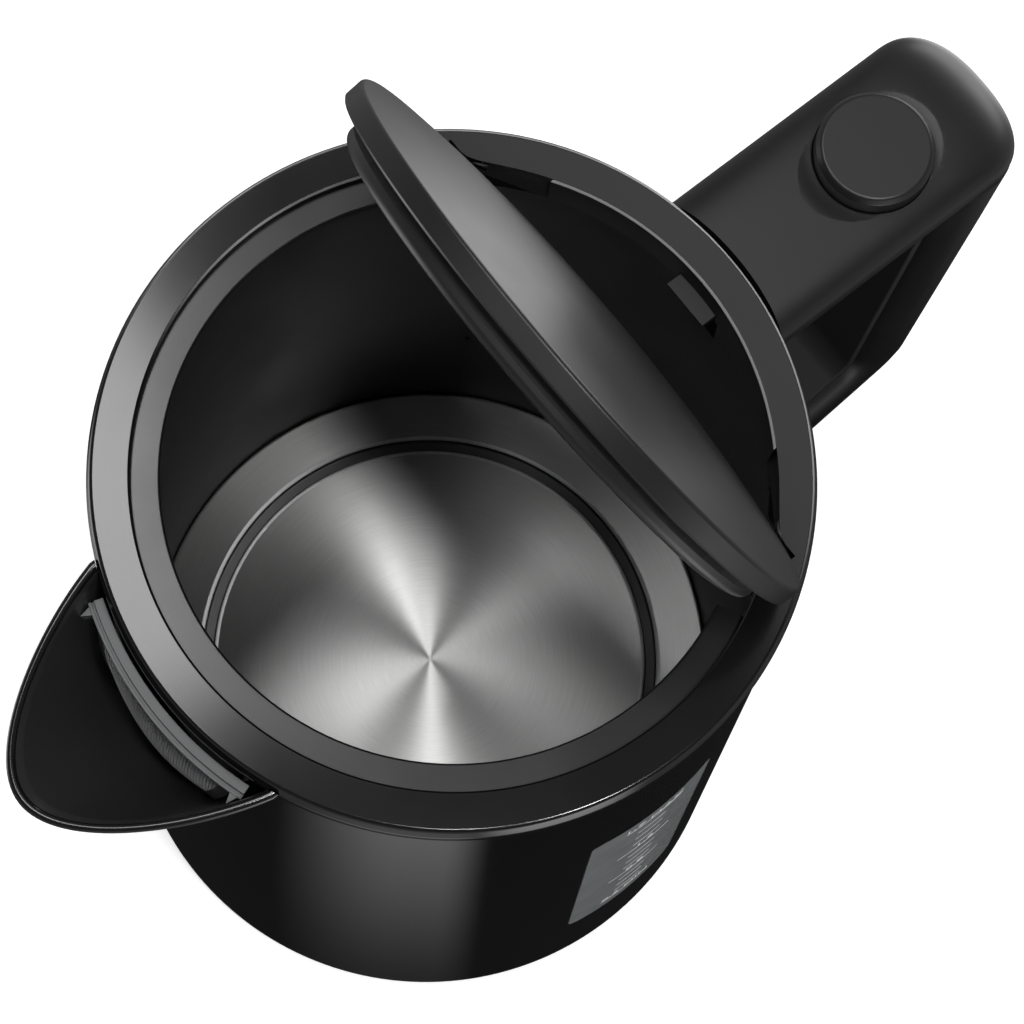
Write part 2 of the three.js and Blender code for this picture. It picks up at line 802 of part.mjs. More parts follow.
// A plan outline with square front corners and softly rounded rear ones.
function roundedEnd(rear, halfWidth) {
  const roundness = 10.3;
  const steps = 7;
  const half = [];
  for (let i = 0; i <= steps; i += 1) {
    const angle = (i / steps) * (Math.PI / 2);
    const u = Math.cos(angle) ** (2 / 2.4);
    const v = Math.sin(angle) ** (2 / 2.4);
    half.push([rear - roundness + roundness * u, halfWidth * v]);
  }
  half.push([rimInner, halfWidth]);
  return [...half.slice(1).reverse().map(([x, y]) => [x, -y]), ...half];
}

// The cover's outline in plan at one depth, drawn in by the wall when it bounds the inside.
function coverOutline(depth, inset) {
  const below = coverRearRadius + coverTop;
  const swing = Math.sqrt(Math.max(coverRearRadius ** 2 - (below - depth) ** 2, 0));
  const rear = coverRearCentre + swing - inset;
  const crown = Math.max(0, (8 - depth) / (8 - coverTop));
  const tuck = Math.max(0, (depth - 8) / (seamDrop - 8));
  const halfWidth = handleHalfWidth - 5.2 * crown ** 3.2 - 0.5 * tuck - inset;
  return roundedEnd(rear, halfWidth);
}

function handleCover() {
  const outside = loft(coverLevels.map((depth) => ({ z: -depth, points: coverOutline(depth, 0) })));
  const hollow = coverLevels
    .filter((depth) => depth < seamDrop)
    .map((depth) => ({ z: -depth - shellWall, points: coverOutline(depth, shellWall) }));
  const opening = { z: -seamDrop - 1, points: coverOutline(seamDrop, shellWall) };
  let cover = outside.subtract(loft([opening, ...hollow]));
  for (const side of [1, -1]) {
    const boss = disc(3.2, -seamDrop + 0.4, -coverTop - 1, 16);
    cover = cover.add(boss.translate([coverScrewX, side * coverScrewY, 0]));
    const bore = disc(screwRadius + clearance, -seamDrop - 1, -coverTop - 4, 16);
    cover = cover.subtract(bore.translate([coverScrewX, side * coverScrewY, 0]));
  }
  const dish = revolve([
    [0, -coverTop - dishDepth],
    [buttonRadius, -coverTop - dishDepth],
    [dishRadius, -coverTop],
    [dishRadius + 0.5, 1],
    [0, 1],
  ], 36).translate([buttonX, 0, 0]);
  const hole = disc(buttonRadius + clearance, -seamDrop, 1, 36).translate([buttonX, 0, 0]);
  const rimRoom = disc(rimOuter + clearance, -rimDepth - clearance, 1, round);
  return cover
    .subtract(dish)
    .subtract(hole)
    .subtract(rimRoom)
    .subtract(bodyRoom(clearance, bodyBottom, -rimDepth));
}

const coverScrewInset = 4; // behind the finger opening's front
const coverScrewX = openingFront + coverScrewInset;
const coverScrewY = 10.2;

// The D-shaped opening that fingers pass through, grown by the margin all round.
function openingOutline(margin) {
  const [front, rear] = [openingFront - 20, openingRear + margin];
  const [top, bottom] = [-openingTop + margin, -gripBottom - 6 - margin];
  const slope = openingFall / (openingRear - openingFront);
  return rounded([
    [front, top],
    [rear, top, 8],
    [rear, bottom, 9],
    [front, bottom - slope * (rear - front)],
  ]);
}

// The grip and its foot in side view, drawn in by the inset.
function gripOutline(inset) {
  const foot = 40; // from the turn of the strap to the foot's toe, down
  const inside = rimInner - toeInset; // hidden start, within the body
  const rear = handleRear - inset;
  return rounded([
    [inside, 10 - inset],
    [rear - 2.2, 10 - inset],
    [rear - 1.4, -seamDrop - 4],
    [rear, -seamDrop - 28, 10],
    [rear, -gripBottom - 3 + inset, 10],
    [rear - 7, -gripBottom - 20 + inset, 8],
    [gripFront - 7 - inset, -gripBottom - foot + 7 + 1.2 * inset, 6],
    [inside, -gripBottom - foot - 27 + 1.2 * inset],
  ]);
}

// The strap in plan: it leaves the cover flush and swells to the handle's back.
function strapRoom(inset) {
  const atSeam = coverRearCentre + coverRearRadius - 0.2;
  const levels = [
    [bodyBottom, handleRear],
    [-seamDrop - 28, handleRear],
    [-seamDrop - 4, atSeam],
    [1, atSeam],
  ];
  return loft(levels.map(([z, rear]) => (
    { z, points: roundedEnd(rear - inset, handleHalfWidth - inset) })));
}

function handleGrip() {
  const opening = sideways(openingOutline(linerWall + clearance), handleHalfWidth + 1);
  const hollowStop = sideways(openingOutline(linerWall + clearance + gripWall), handleHalfWidth);
  const hollow = sideways(gripOutline(gripWall), handleHalfWidth - gripWall, gripRound / 2)
    .intersect(strapRoom(gripWall))
    .subtract(hollowStop)
    .subtract(block([0, -beyond, -seamDrop - clearance - gripWall], [beyond, beyond, beyond]));
  const slotLow = -leverDrop - 30;
  const slot = block(
    [leverX - 3, -leverHalfWidth - 0.8, slotLow],
    [leverX + 13, leverHalfWidth + 0.8, -leverDrop],
  );
  const axle = crossPin(leverPinRadius + runningClearance, -handleHalfWidth + 1.2,
    handleHalfWidth - 1.2, leverX, -leverDrop, 16);
  return sideways(gripOutline(0), handleHalfWidth, gripRound)
    .intersect(strapRoom(0))
    .subtract(opening)
    .subtract(block([0, -beyond, -seamDrop - clearance], [beyond, beyond, beyond]))
    .subtract(hollow)
    .subtract(slot)
    .subtract(axle)
    .subtract(bodyRoom(clearance, bodyBottom, 1));
}

function handleLiner() {
  const band = sideways(openingOutline(linerWall), linerHalfWidth)
    .subtract(sideways(openingOutline(0), linerHalfWidth + 1))
    .subtract(bodyRoom(clearance, bodyBottom, 1));
  let liner = band;
  const [low, rail] = [-openingTop + linerWall, latchPlateLow - clearance];
  for (const side of [1, -1]) {
    const [near, far] = [7.4, 9.2].map((y) => side * y);
    liner = liner.add(block([latchWideX + 3, Math.min(near, far), low - 0.5],
      [openingRear - 9, Math.max(near, far), rail]));
    const bore = disc(screwRadius + clearance, low - 10, low + 1, 16);
    liner = liner.subtract(bore.translate([coverScrewX, side * coverScrewY, 0]));
  }
  return liner.add(block(
    [springPostX, -2.6, low - 0.5],
    [springPostX + 1.8, 2.6, latchPlateTop + clearance / 3],
  ));
}

function handleSpine() {
  const top = -openingTop - clearance;
  const bottom = -gripBottom - 6 - openingFall - 3;
  const shape = rounded([
    [rimInner, -spineHalfWidth],
    [openingFront, -spineHalfWidth, 2.5],
    [openingFront, spineHalfWidth, 2.5],
    [rimInner, spineHalfWidth],
  ]);
  const inside = rounded([
    [rimInner - 1, -spineHalfWidth + spineWall],
    [openingFront - spineWall, -spineHalfWidth + spineWall, 1.5],
    [openingFront - spineWall, spineHalfWidth - spineWall, 1.5],
    [rimInner - 1, spineHalfWidth - spineWall],
  ]);
  return plate(shape, bodyBottom, top)
    .subtract(plate(inside, bodyBottom - 1, top - spineWall))
    .intersect(sideways(openingOutline(-clearance), beyond)
      .add(block([0, -beyond, bottom], [openingFront - spineWall, beyond, 0])))
    .subtract(bodyRoom(clearance, bodyBottom, 1));
}

function coverScrew() {
  const headTop = -openingTop - clearance;
  return disc(2.6, headTop - 1.6, headTop, 16)
    .add(disc(screwRadius, headTop - 0.5, -coverTop - 4 - clearance, 16));
}

// ---------------------------------------------------------------- button and latch

const flangeTop = -flangeDrop;
const flangeBottom = flangeTop - flangeThickness;
const rampSum = buttonX + 19.3; // x - z along the latch's 45 degree ramp
const latchWideX = buttonX - 21.2; // where the tongue widens into the plate
const latchHalfWidth = 10;
const latchSheet = 2;
const latchPlateTop = -latchTop - latchThickness - 0.7;
const latchPlateLow = latchPlateTop - latchSheet;
const latchSideSlot = 6.4; // half the plate's window, round the lug and springs
const springPostX = buttonX - 11.2;
const lugFront = 5.2; // button's axis to the lug's front
const lugHalfWidth = 4;
const lugDrop = 8; // rim's top face to the lug's tip
const wellTop = 0.6; // spring's seat under the button
const springFloor = -openingTop + linerWall + clearance;

function releaseButton() {
  const body = revolve([
    [0, flangeBottom],
    [flangeRadius, flangeBottom],
    [flangeRadius, flangeTop],
    [buttonRadius, flangeTop],
    [buttonRadius, buttonRise - buttonFillet],
    [buttonRadius - 0.3 * buttonFillet, buttonRise - 0.3 * buttonFillet],
    [buttonRadius - buttonFillet, buttonRise],
    [0, buttonRise],
  ], 36).translate([buttonX, 0, 0]);
  const low = -lugDrop;
  const lug = sideways(rounded([
    [buttonX + lugFront, flangeBottom + 0.5],
    [buttonX + lugFront, low],
    [rampSum - 0.5 + low, low],
    [buttonX + buttonRadius - 0.2, buttonX + buttonRadius - 0.2 - rampSum + 0.5],
    [buttonX + buttonRadius - 0.2, flangeBottom + 0.5],
  ]), lugHalfWidth);
  const well = disc(buttonSpringRadius + 1, flangeBottom - 1, wellTop, small);
  return body.add(lug).subtract(well.translate([buttonX, 0, 0]));
}

function latchSlider() {
  const tongue = sideways(rounded([
    [latchX, -latchTop, 0],
    [latchWideX + 4, -latchTop],
    [latchWideX + 4, latchPlateLow],
    [latchWideX, latchPlateLow],
    [latchWideX, -latchTop - latchThickness],
    [latchX + latchThickness, -latchTop - latchThickness],
    [latchX, -latchTop - 0.8, 0.5],
  ]), tongueHalfWidth);
  const end = rampSum - 2.5;
  const wide = block([latchWideX, -latchHalfWidth, latchPlateLow],
    [end, latchHalfWidth, latchPlateTop]);
  const under = latchPlateLow - latchSheet;
  const window = block([springPostX + 1, -latchSideSlot, under], [rampSum - 9, latchSideSlot, 0]);
  const slot = block([latchWideX + 2, -latchSideSlot / 2, under],
    [springPostX + 2, latchSideSlot / 2, latchPlateTop + 0.8]);
  const rampTop = flangeBottom - 0.5;
  const ramp = sideways(rounded([
    [rampSum + latchPlateTop, latchPlateTop - 0.5],
    [rampSum + latchPlateTop, latchPlateTop],
    [rampSum + rampTop, rampTop],
    [end, rampTop],
    [end, latchPlateTop - 0.5],
  ]), latchSideSlot);
  return tongue.add(wide).subtract(window).subtract(slot).add(ramp);
}

function buttonSpring() {
  const top = wellTop - clearance;
  return coil(buttonSpringRadius, coilWire, top - springFloor, 5)
    .translate([buttonX, 0, springFloor]);
}

function latchSpring() {
  const from = latchWideX + 2 + clearance;
  return coil(latchSpringRadius, 0.5, springPostX - clearance - from, 4)
    .rotate([0, 90, 0])
    .translate([from, 0, (latchPlateTop + latchPlateLow) / 2 - 0.2]);
}

// ---------------------------------------------------------------- switch

function switchLever() {
  const arm = (dx, dz, half) => {
    const length = Math.hypot(dx, dz);
    const shape = rounded([[0, -half], [length, -half, half], [length, half, half], [0, half]]);
    const turn = (-Math.atan2(dz, dx) * 180) / Math.PI;
    return sideways(shape, leverHalfWidth).rotate([0, turn, 0]).translate([leverX, 0, -leverDrop]);
  };
  const hub = crossPin(leverHub, -leverHalfWidth, leverHalfWidth, leverX, -leverDrop);
  const axle = crossPin(leverPinRadius, -handleHalfWidth + 1.2 + clearance,
    handleHalfWidth - 1.2 - clearance, leverX, -leverDrop, 16);
  return hub.add(axle).add(arm(pedalReach, -pedalDrop, 1.8)).add(arm(-tripReach, -tripDrop, 1.3));
}

function switchCup() {
  const cup = disc(cupRadius, 0, cupDepth, small).subtract(disc(cupRadius - 1, -1, cupDepth - 1));
  const hole = disc(2, 0, cupDepth + 1, 16);
  return cup.subtract(hole).rotate([0, 90, 0]).translate([cupX, 0, -cupDrop]);
}

function bimetalDisc() {
  return disc(cupRadius - 1 - clearance, 1.6, 2, small)
    .rotate([0, 90, 0])
    .translate([cupX, 0, -cupDrop]);
}

// ---------------------------------------------------------------- assembly

const finishes = {
  glossBlack: { color: 0x17181a, roughness: 0.2, metalness: 0 },
  satinBlack: { color: 0x2b2c2e, roughness: 0.5, metalness: 0 },
  mattBlack: { color: 0x1c1c1e, roughness: 0.8, metalness: 0 },
  steel: { color: 0xc4c6c8, roughness: 0.35, metalness: 1 },
  aluminium: { color: 0xa9abae, roughness: 0.5, metalness: 1 },
  brass: { color: 0xc9a55c, roughness: 0.35, metalness: 1 },
  clear: { color: 0x9aa3a8, roughness: 0.1, metalness: 0 },
  silicone: { color: 0xb9b9b6, roughness: 0.7, metalness: 0 },
  rubber: { color: 0x202020, roughness: 0.9, metalness: 0 },
  greyPlastic: { color: 0x6f7174, roughness: 0.5, metalness: 0 },
};

function piece(name, shape, finish) {
  const mesh = shape.getMesh();
  const geometry = new THREE.BufferGeometry();
  geometry.setAttribute('position', new THREE.BufferAttribute(mesh.vertProperties, 3));
  geometry.setIndex(new THREE.BufferAttribute(mesh.triVerts, 1));
  geometry.computeVertexNormals();
  const result = new THREE.Mesh(geometry, new THREE.MeshStandardMaterial(finishes[finish]));
  result.name = name;
  return result;
}

// The lid is drawn closed and turned open about its pins.
function lid() {
  const turning = new THREE.Group();
  const drawn = new THREE.Group();
  drawn.position.set(-hingeX, 0, hingeDrop);
  drawn.add(
    piece('lid_cap', lidCap(), 'satinBlack'),
    piece('lid_plug', lidPlug(), 'satinBlack'),
    piece('lid_seal', lidSeal(), 'silicone'),
    piece('lid_pin_left', lidPin(1), 'steel'),
    piece('lid_pin_right', lidPin(-1), 'steel'),
  );
  turning.add(drawn);
  turning.position.set(hingeX, 0, -hingeDrop);
  turning.rotation.y = degrees(lidOpenAngle);
  return turning;
}

function placed(name, shape, finish, position) {
  const result = piece(name, shape, finish);
  result.position.set(...position);
  return result;
}

const kettle = new THREE.Group();
kettle.add(
  piece('outer_body', outerBody(), 'glossBlack'),
  piece('inner_pot', innerPot(), 'mattBlack'),
  piece('rim_ring', rimRing(), 'satinBlack'),
  piece('water_window', waterWindow(), 'clear'),
  piece('window_seal', windowSeal(), 'silicone'),
  piece('spout', spout(), 'glossBlack'),
  piece('filter_frame', filterFrame(), 'greyPlastic'),
  piece('filter_mesh', filterMesh(), 'steel'),
  piece('base_plate', basePlate(), 'steel'),
  piece('plate_gasket', plateGasket(), 'silicone'),
  piece('heat_spreader', heatSpreader(), 'aluminium'),
  piece('heating_element', heatingElement(), 'aluminium'),
  piece('control_unit', controlUnit(), 'mattBlack'),
  piece('connector_socket', connectorSocket(), 'mattBlack'),
  piece('contact_pin', contactPin(), 'brass'),
  piece('base_cover', baseCover(), 'mattBlack'),
  piece('handle_cover', handleCover(), 'satinBlack'),
  piece('handle_grip', handleGrip(), 'satinBlack'),
  piece('handle_liner', handleLiner(), 'mattBlack'),
  piece('handle_spine', handleSpine(), 'satinBlack'),
  piece('lid_release_button', releaseButton(), 'satinBlack'),
  piece('latch_slider', latchSlider(), 'satinBlack'),
  piece('button_spring', buttonSpring(), 'steel'),
  piece('latch_spring', latchSpring(), 'steel'),
  piece('lid_spring', lidSpring(), 'steel'),
  piece('switch_lever', switchLever(), 'satinBlack'),
  piece('switch_cup', switchCup(), 'greyPlastic'),
  piece('bimetal_disc', bimetalDisc(), 'brass'),
  lid(),
);
screwAngles.forEach((angle, i) => {
  kettle.add(placed(`base_screw_${i + 1}`, baseScrew(), 'steel', polar(screwCircle, angle)));
});
footAngles.forEach((angle, i) => {
  kettle.add(placed(`foot_${i + 1}`, foot(), 'rubber', polar(footCircle, angle)));
});
[1, -1].forEach((side, i) => {
  const place = [coverScrewX, side * coverScrewY, 0];
  kettle.add(placed(`handle_screw_${i + 1}`, coverScrew(), 'steel', place));
});

// The origin is under the middle of the object, between the spout's tip and the handle's back.
const middle = (handleRear - spoutReach) / 2;
kettle.position.set(-middle, 0, bodyHeight + footHeight);

const object = new THREE.Group();
object.add(kettle);

export default object;
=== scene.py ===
"""Cordless electric kettle: fine surfaces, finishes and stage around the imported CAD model."""
import json
import math

import bpy
import bmesh
from bpy.props import FloatProperty, IntProperty, PointerProperty, StringProperty
from mathutils import Euler, Matrix, Vector


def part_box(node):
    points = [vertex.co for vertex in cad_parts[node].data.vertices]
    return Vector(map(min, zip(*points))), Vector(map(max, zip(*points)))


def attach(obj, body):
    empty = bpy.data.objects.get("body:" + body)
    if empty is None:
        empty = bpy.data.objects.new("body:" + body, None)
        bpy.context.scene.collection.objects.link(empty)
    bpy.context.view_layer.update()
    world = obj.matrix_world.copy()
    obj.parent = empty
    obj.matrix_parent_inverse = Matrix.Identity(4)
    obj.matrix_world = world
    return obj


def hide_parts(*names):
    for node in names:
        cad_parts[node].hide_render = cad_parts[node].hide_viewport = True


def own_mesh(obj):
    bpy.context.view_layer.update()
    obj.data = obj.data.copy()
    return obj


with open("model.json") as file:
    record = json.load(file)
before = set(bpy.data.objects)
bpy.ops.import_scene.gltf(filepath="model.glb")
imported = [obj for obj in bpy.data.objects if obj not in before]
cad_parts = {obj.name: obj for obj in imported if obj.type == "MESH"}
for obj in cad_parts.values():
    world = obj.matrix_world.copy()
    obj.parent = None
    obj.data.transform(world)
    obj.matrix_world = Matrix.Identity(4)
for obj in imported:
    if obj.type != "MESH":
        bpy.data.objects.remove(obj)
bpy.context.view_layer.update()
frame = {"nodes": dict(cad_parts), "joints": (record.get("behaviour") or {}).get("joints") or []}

bl_info = {
    "name": "Electric Kettle",
    "version": (1, 0, 0),
    "blender": (4, 5, 0),
    "location": "View3D > Sidebar > Kettle",
    "description": "Builds the moulded shells, steel plate, filter and finishes of an electric kettle",
    "category": "Object",
}

MM = 0.001
MATERIALS = {}  # every finish by its plain name, filled by make_materials()
RIM_FLARE = 0.9 * MM  # the rim's side band beyond its top face
MOUTH_TOP, MOUTH_LOW = -6 * MM, -52 * MM  # the mouth to the spout, below the rim
LATCH_X = 55.4 * MM  # the kettle's axis to the face of the lid that the latch holds
MOUTH_WIDE, MOUTH_NARROW = 21.5 * MM, 12 * MM  # half its width at the top and at the foot

# ------------------------------------------------------------------ the kettle's own frame
# Pieces are drawn with x = y = 0 on the kettle's axis and z = 0 at the rim's top face.

BODY_LOW, BODY_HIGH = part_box("outer_body")
AXIS_X = (BODY_LOW[0] + BODY_HIGH[0]) / 2
RIM_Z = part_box("rim_ring")[1][2]
DRAWN = Matrix.Translation((AXIS_X, 0.0, RIM_Z))
JOINTS = {joint["name"]: joint for joint in frame["joints"]}
HINGE = JOINTS["lid_hinge"]
HINGE_AT = Vector(HINGE["pos_m"])
LID_OPEN = math.radians(HINGE["range_deg"][1])
OPENED = (
    Matrix.Translation(HINGE_AT)
    @ Matrix.Rotation(LID_OPEN, 4, "Y")
    @ Matrix.Translation(-HINGE_AT)
    @ DRAWN
)


def size(name, metres, description):
    """A length that a user may change, in metres."""
    return FloatProperty(name=name, default=metres, unit="LENGTH", precision=5, description=description)


def colour(name, code, description):
    """A colour as an sRGB hex code."""
    return StringProperty(name=name, default=code, description=description)


class KettleSizes(bpy.types.PropertyGroup):
    """Sizes of the body, rim, base and spout."""

    rim_radius: size("Rim radius", 66.5 * MM, "Outer radius of the rim's top face")
    rim_width: size("Rim width", 7.3 * MM, "Width of the rim's top face")
    rim_depth: size("Rim depth", 7.0 * MM, "Height of the rim's side band")
    base_radius: size("Base radius", 74.7 * MM, "Outer radius of the body's lower edge")
    body_height: size("Body height", 220 * MM, "Lower edge of the body to the rim's top face")
    wall: size("Wall", 2.2 * MM, "Wall of the body, the pot and the handle's cover")
    wall_gap: size("Wall gap", 1.6 * MM, "Air between body and pot")
    gap: size("Gap", 0.3 * MM, "Clearance between pieces that seat on each other")
    plate_depth: size("Plate depth", 182.7 * MM, "Rim to the heater plate's top")
    groove_radius: size("Groove radius", 53.6 * MM, "Middle of the plate's pressed groove")
    spout_reach: size("Spout reach", 98.75 * MM, "Kettle axis to the spout's tip")
    spout_height: size("Spout height", 63.5 * MM, "Height of the beak")
    spout_half_width: size("Spout half width", 27.4 * MM, "Half the beak's width at its root")
    spout_foot: FloatProperty(name="Spout foot", default=0.66, min=0.2, max=1.0, precision=3,
                              description="Share of the half width left at the beak's lower end")
    window_half_width: size("Window half width", 15.2 * MM, "Half the water window's width")
    window_top: size("Window top", 60 * MM, "Rim to the window's top edge")
    window_height: size("Window height", 113 * MM, "Height of the water window")
    facets: IntProperty(name="Facets", default=192, min=48, max=512, description="Faces round the body")


class LidSizes(bpy.types.PropertyGroup):
    """Sizes of the lid, drawn closed."""

    clearance: size("Clearance", 0.6 * MM, "Between the lid's edge and the rim")
    band: size("Band", 4.3 * MM, "Height of the lid's straight edge")
    dome: size("Dome", 4.0 * MM, "Rise of the lid's top above its edge")
    fillet: size("Fillet", 0.8 * MM, "Round on the lid's upper edge")
    plug_depth: size("Plug depth", 4.7 * MM, "Height of the plug below the band")
    ledge_width: size("Ledge width", 5.36 * MM, "Width of the seat under the lid")
    ledge_drop: size("Ledge drop", 2.0 * MM, "Rim's top face to the seat")
    hinge_x: size("Hinge x", 33.7 * MM, "Kettle axis to the hinge")
    hinge_drop: size("Hinge drop", 3.4 * MM, "Rim's top face to the hinge")


class HandleSizes(bpy.types.PropertyGroup):
    """Sizes of the handle and its button."""

    half_width: size("Half width", 17.1 * MM, "Half the handle's width")
    crown: size("Crown", 0.5 * MM, "Cover's top below the rim's top face")
    seam: size("Seam", 13.0 * MM, "Cover's lower seam below the rim's top face")
    rear: size("Rear", 131.9 * MM, "Kettle axis to the handle's back")
    front: size("Strap front", 111.5 * MM, "Front of the grip's back strap")
    bottom: size("Bottom", 118 * MM, "Where the strap turns towards the body")
    opening_front: size("Opening front", 72 * MM, "Front of the finger opening")
    opening_rear: size("Opening rear", 109 * MM, "Back of the finger opening")
    opening_top: size("Opening top", 15.6 * MM, "Top of the finger opening below the rim")
    opening_fall: size("Opening fall", 20 * MM, "Drop of the opening's floor to the body")
    button_x: size("Button x", 101.2 * MM, "Kettle axis to the button")
    button_radius: size("Button radius", 11.4 * MM, "Radius of the button")
    button_rise: size("Button rise", 4.0 * MM, "Button's top above the rim's top face")
    dish_radius: size("Dish radius", 14.3 * MM, "Radius of the dish round the button")


class KettleColours(bpy.types.PropertyGroup):
    """Base colours of the finishes."""

    gloss_black: colour("Gloss black", "#0B0B0C", "High-gloss polypropylene of body and spout")
    satin_black: colour("Satin black", "#1B1B1C", "Fine-grained polypropylene of lid and handle")
    rim_black: colour("Rim black", "#111112", "Polished polypropylene of the rim's top face and seat")
    # lighter than the body's black: painted light in the beak, on the same plastic as the body
    beak_colour_with_painted_light: colour("Stoned black", "#2C2C2D", "Finely stoned polypropylene of the spout")
    matt_black: colour("Matt black", "#1C1C1D", "Matt polypropylene of the pot")
    steel: colour("Steel", "#C9C9C8", "Spun stainless steel of the heater plate")
    mesh_steel: colour("Mesh steel", "#8E8F90", "Woven stainless wire of the filter")
    window: colour("Window", "#C6CACC", "Smoke-clear polypropylene of the water window")
    print_white: colour("Print", "#F4F4F2", "Printed scale on the window")
    rubber: colour("Rubber", "#141414", "Moulded rubber of feet and seals")


# ------------------------------------------------------------------ mesh helpers


def rounded(points, steps=6):
    """A closed outline from (u, v, radius) corners, with each round as a true arc."""
    outline = []
    for i, point in enumerate(points):
        corner = Vector(point[:2])
        radius = point[2] if len(point) > 2 else 0.0
        before = (Vector(points[i - 1][:2]) - corner).normalized()
        after = (Vector(points[(i + 1) % len(points)][:2]) - corner).normalized()
        half = before.angle(after, 0.0) / 2
        if radius <= 0 or half > math.radians(89):
            outline.append(corner)
            continue
        centre = corner + (before + after).normalized() * (radius / math.sin(half))
        start = corner + before * (radius / math.tan(half)) - centre
        turn = start.angle_signed(corner + after * (radius / math.tan(half)) - centre)
        for k in range(steps + 1):
            outline.append(centre + Matrix.Rotation(-turn * k / steps, 2) @ start)
    return [(p.x, p.y) for p in outline]


def new_object(name, data):
    """An object with its data, linked to the scene."""
    piece = bpy.data.objects.new(name, data)
    bpy.context.collection.objects.link(piece)
    return piece


def make_object(name, corners, faces, place=DRAWN):
    """A mesh object at the origin, with its place in its corners and its faces outwards."""
    mesh = bpy.data.meshes.new(name)
    mesh.from_pydata([place @ Vector(c) for c in corners], [], faces)
    tidy = bmesh.new()
    tidy.from_mesh(mesh)
    bmesh.ops.remove_doubles(tidy, verts=tidy.verts, dist=1e-7)
    bmesh.ops.dissolve_degenerate(tidy, dist=1e-7, edges=tidy.edges)
    bmesh.ops.recalc_face_normals(tidy, faces=tidy.faces)
    tidy.to_mesh(mesh)
    tidy.free()
    return new_object(name, mesh)


def lathe(name, profile, facets, place=DRAWN, centre=(0.0, 0.0)):
    """A closed (radius, z) profile turned about an upright axis."""
    corners = []
    for k in range(facets):
        angle = 2 * math.pi * k / facets
        cos, sin = math.cos(angle), math.sin(angle)
        corners += [(centre[0] + r * cos, centre[1] + r * sin, z) for r, z in profile]
    count = len(profile)
    faces = []
    for k in range(facets):
        here, there = k * count, ((k + 1) % facets) * count
        for i in range(count):
            j = (i + 1) % count
            if profile[i][0] < 1e-9 and profile[j][0] < 1e-9:
                continue
            faces.append((here + i, there + i, there + j, here + j))
    return make_object(name, corners, faces, place)


def loft(name, levels, place=DRAWN):
    """Outlines of equal length, one over the other, closed with a face at both ends."""
    count = len(levels[0])
    corners = [corner for level in levels for corner in level]
    faces = []
    for k in range(len(levels) - 1):
        for i in range(count):
            j = (i + 1) % count
            faces.append((k * count + i, k * count + j, (k + 1) * count + j, (k + 1) * count + i))
    faces.append(tuple(range(count)))
    faces.append(tuple(range((len(levels) - 1) * count, len(levels) * count)))
    return make_object(name, corners, faces, place)


def slab(name, outline, half_width, edge=0.0, place=DRAWN):
    """A side-view outline (x, z) made as wide as two half widths, with its edges rounded."""
    curve = bpy.data.curves.new(name, "CURVE")
    curve.dimensions = "2D"
    curve.fill_mode = "BOTH"
    spline = curve.splines.new("POLY")
    spline.points.add(len(outline) - 1)
    for point, (x, z) in zip(spline.points, outline):
        point.co = (x, z, 0.0, 1.0)
    spline.use_cyclic_u = True
    curve.extrude = half_width - edge
    curve.bevel_depth = edge
    curve.bevel_resolution = 5
    curve.offset = -edge
    mesh = mesh_of(curve)
    upright = Matrix.Rotation(math.radians(90), 4, "X")
    corners = [upright @ v.co for v in mesh.vertices]
    return make_object(name, corners, [tuple(p.vertices) for p in mesh.polygons], place)


def block(name, low, high, place=DRAWN):
    """A plain box, used only to cut with."""
    corners = [(x, y, z) for x in (low[0], high[0]) for y in (low[1], high[1]) for z in (low[2], high[2])]
    faces = [(0, 1, 3, 2), (4, 6, 7, 5), (0, 4, 5, 1), (2, 3, 7, 6), (0, 2, 6, 4), (1, 5, 7, 3)]
    return make_object(name, corners, faces, place)


def plain_mesh(piece):
    """The evaluated shape of an object as a mesh of its own."""
    graph = bpy.context.evaluated_depsgraph_get()
    graph.update()
    return bpy.data.meshes.new_from_object(piece.evaluated_get(graph), depsgraph=graph)


def mesh_of(curve):
    """A curve's or text's shape as a mesh."""
    drawn = new_object("drawn", curve)
    mesh = plain_mesh(drawn)
    bpy.data.objects.remove(drawn)
    return mesh


def settle(piece):
    """Applies every modifier of a piece."""
    mesh = plain_mesh(piece)
    piece.modifiers.clear()
    old = piece.data
    piece.data = mesh
    bpy.data.meshes.remove(old)


def carve(piece, *cutters, operation="DIFFERENCE"):
    """Cuts the cutters out of a piece, or joins them to it."""
    for cutter in cutters:
        step = piece.modifiers.new("carve", "BOOLEAN")
        step.operation = operation
        step.solver = "EXACT"
        step.use_self = True
        step.object = cutter
    settle(piece)
    for cutter in cutters:
        bpy.data.objects.remove(cutter)


def soften(piece, width, segments=2, angle=35):
    """Rounds the sharp edges of a piece, as a moulded or pressed piece has them."""
    step = piece.modifiers.new("soften", "BEVEL")
    step.width = width
    step.segments = segments
    step.limit_method = "ANGLE"
    step.angle_limit = math.radians(angle)
    step.use_clamp_overlap = True
    settle(piece)


def finish(piece, skin, slot, *nodes, body="kettle", angle=32):
    """Shades and dresses a finished piece, hangs it on its body and hides the CAD nodes it replaces."""
    piece.data.shade_smooth()
    piece.data.set_sharp_from_angle(angle=math.radians(angle))
    piece.modifiers.new("even", "WEIGHTED_NORMAL").keep_sharp = True
    settle(piece)
    piece.data.materials.clear()
    piece.data.materials.append(MATERIALS[skin])
    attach(piece, body)
    if nodes:
        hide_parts(*nodes)
    return piece


def dress(piece, chosen, *skins):
    """Gives faces further materials, chosen from distance to the axis, height and normal."""
    for skin in skins:
        piece.data.materials.append(MATERIALS[skin])
    for face in piece.data.polygons:
        away = math.hypot(face.center.x - AXIS_X, face.center.y)
        face.material_index = chosen(away, face.center.z - RIM_Z, face.normal)


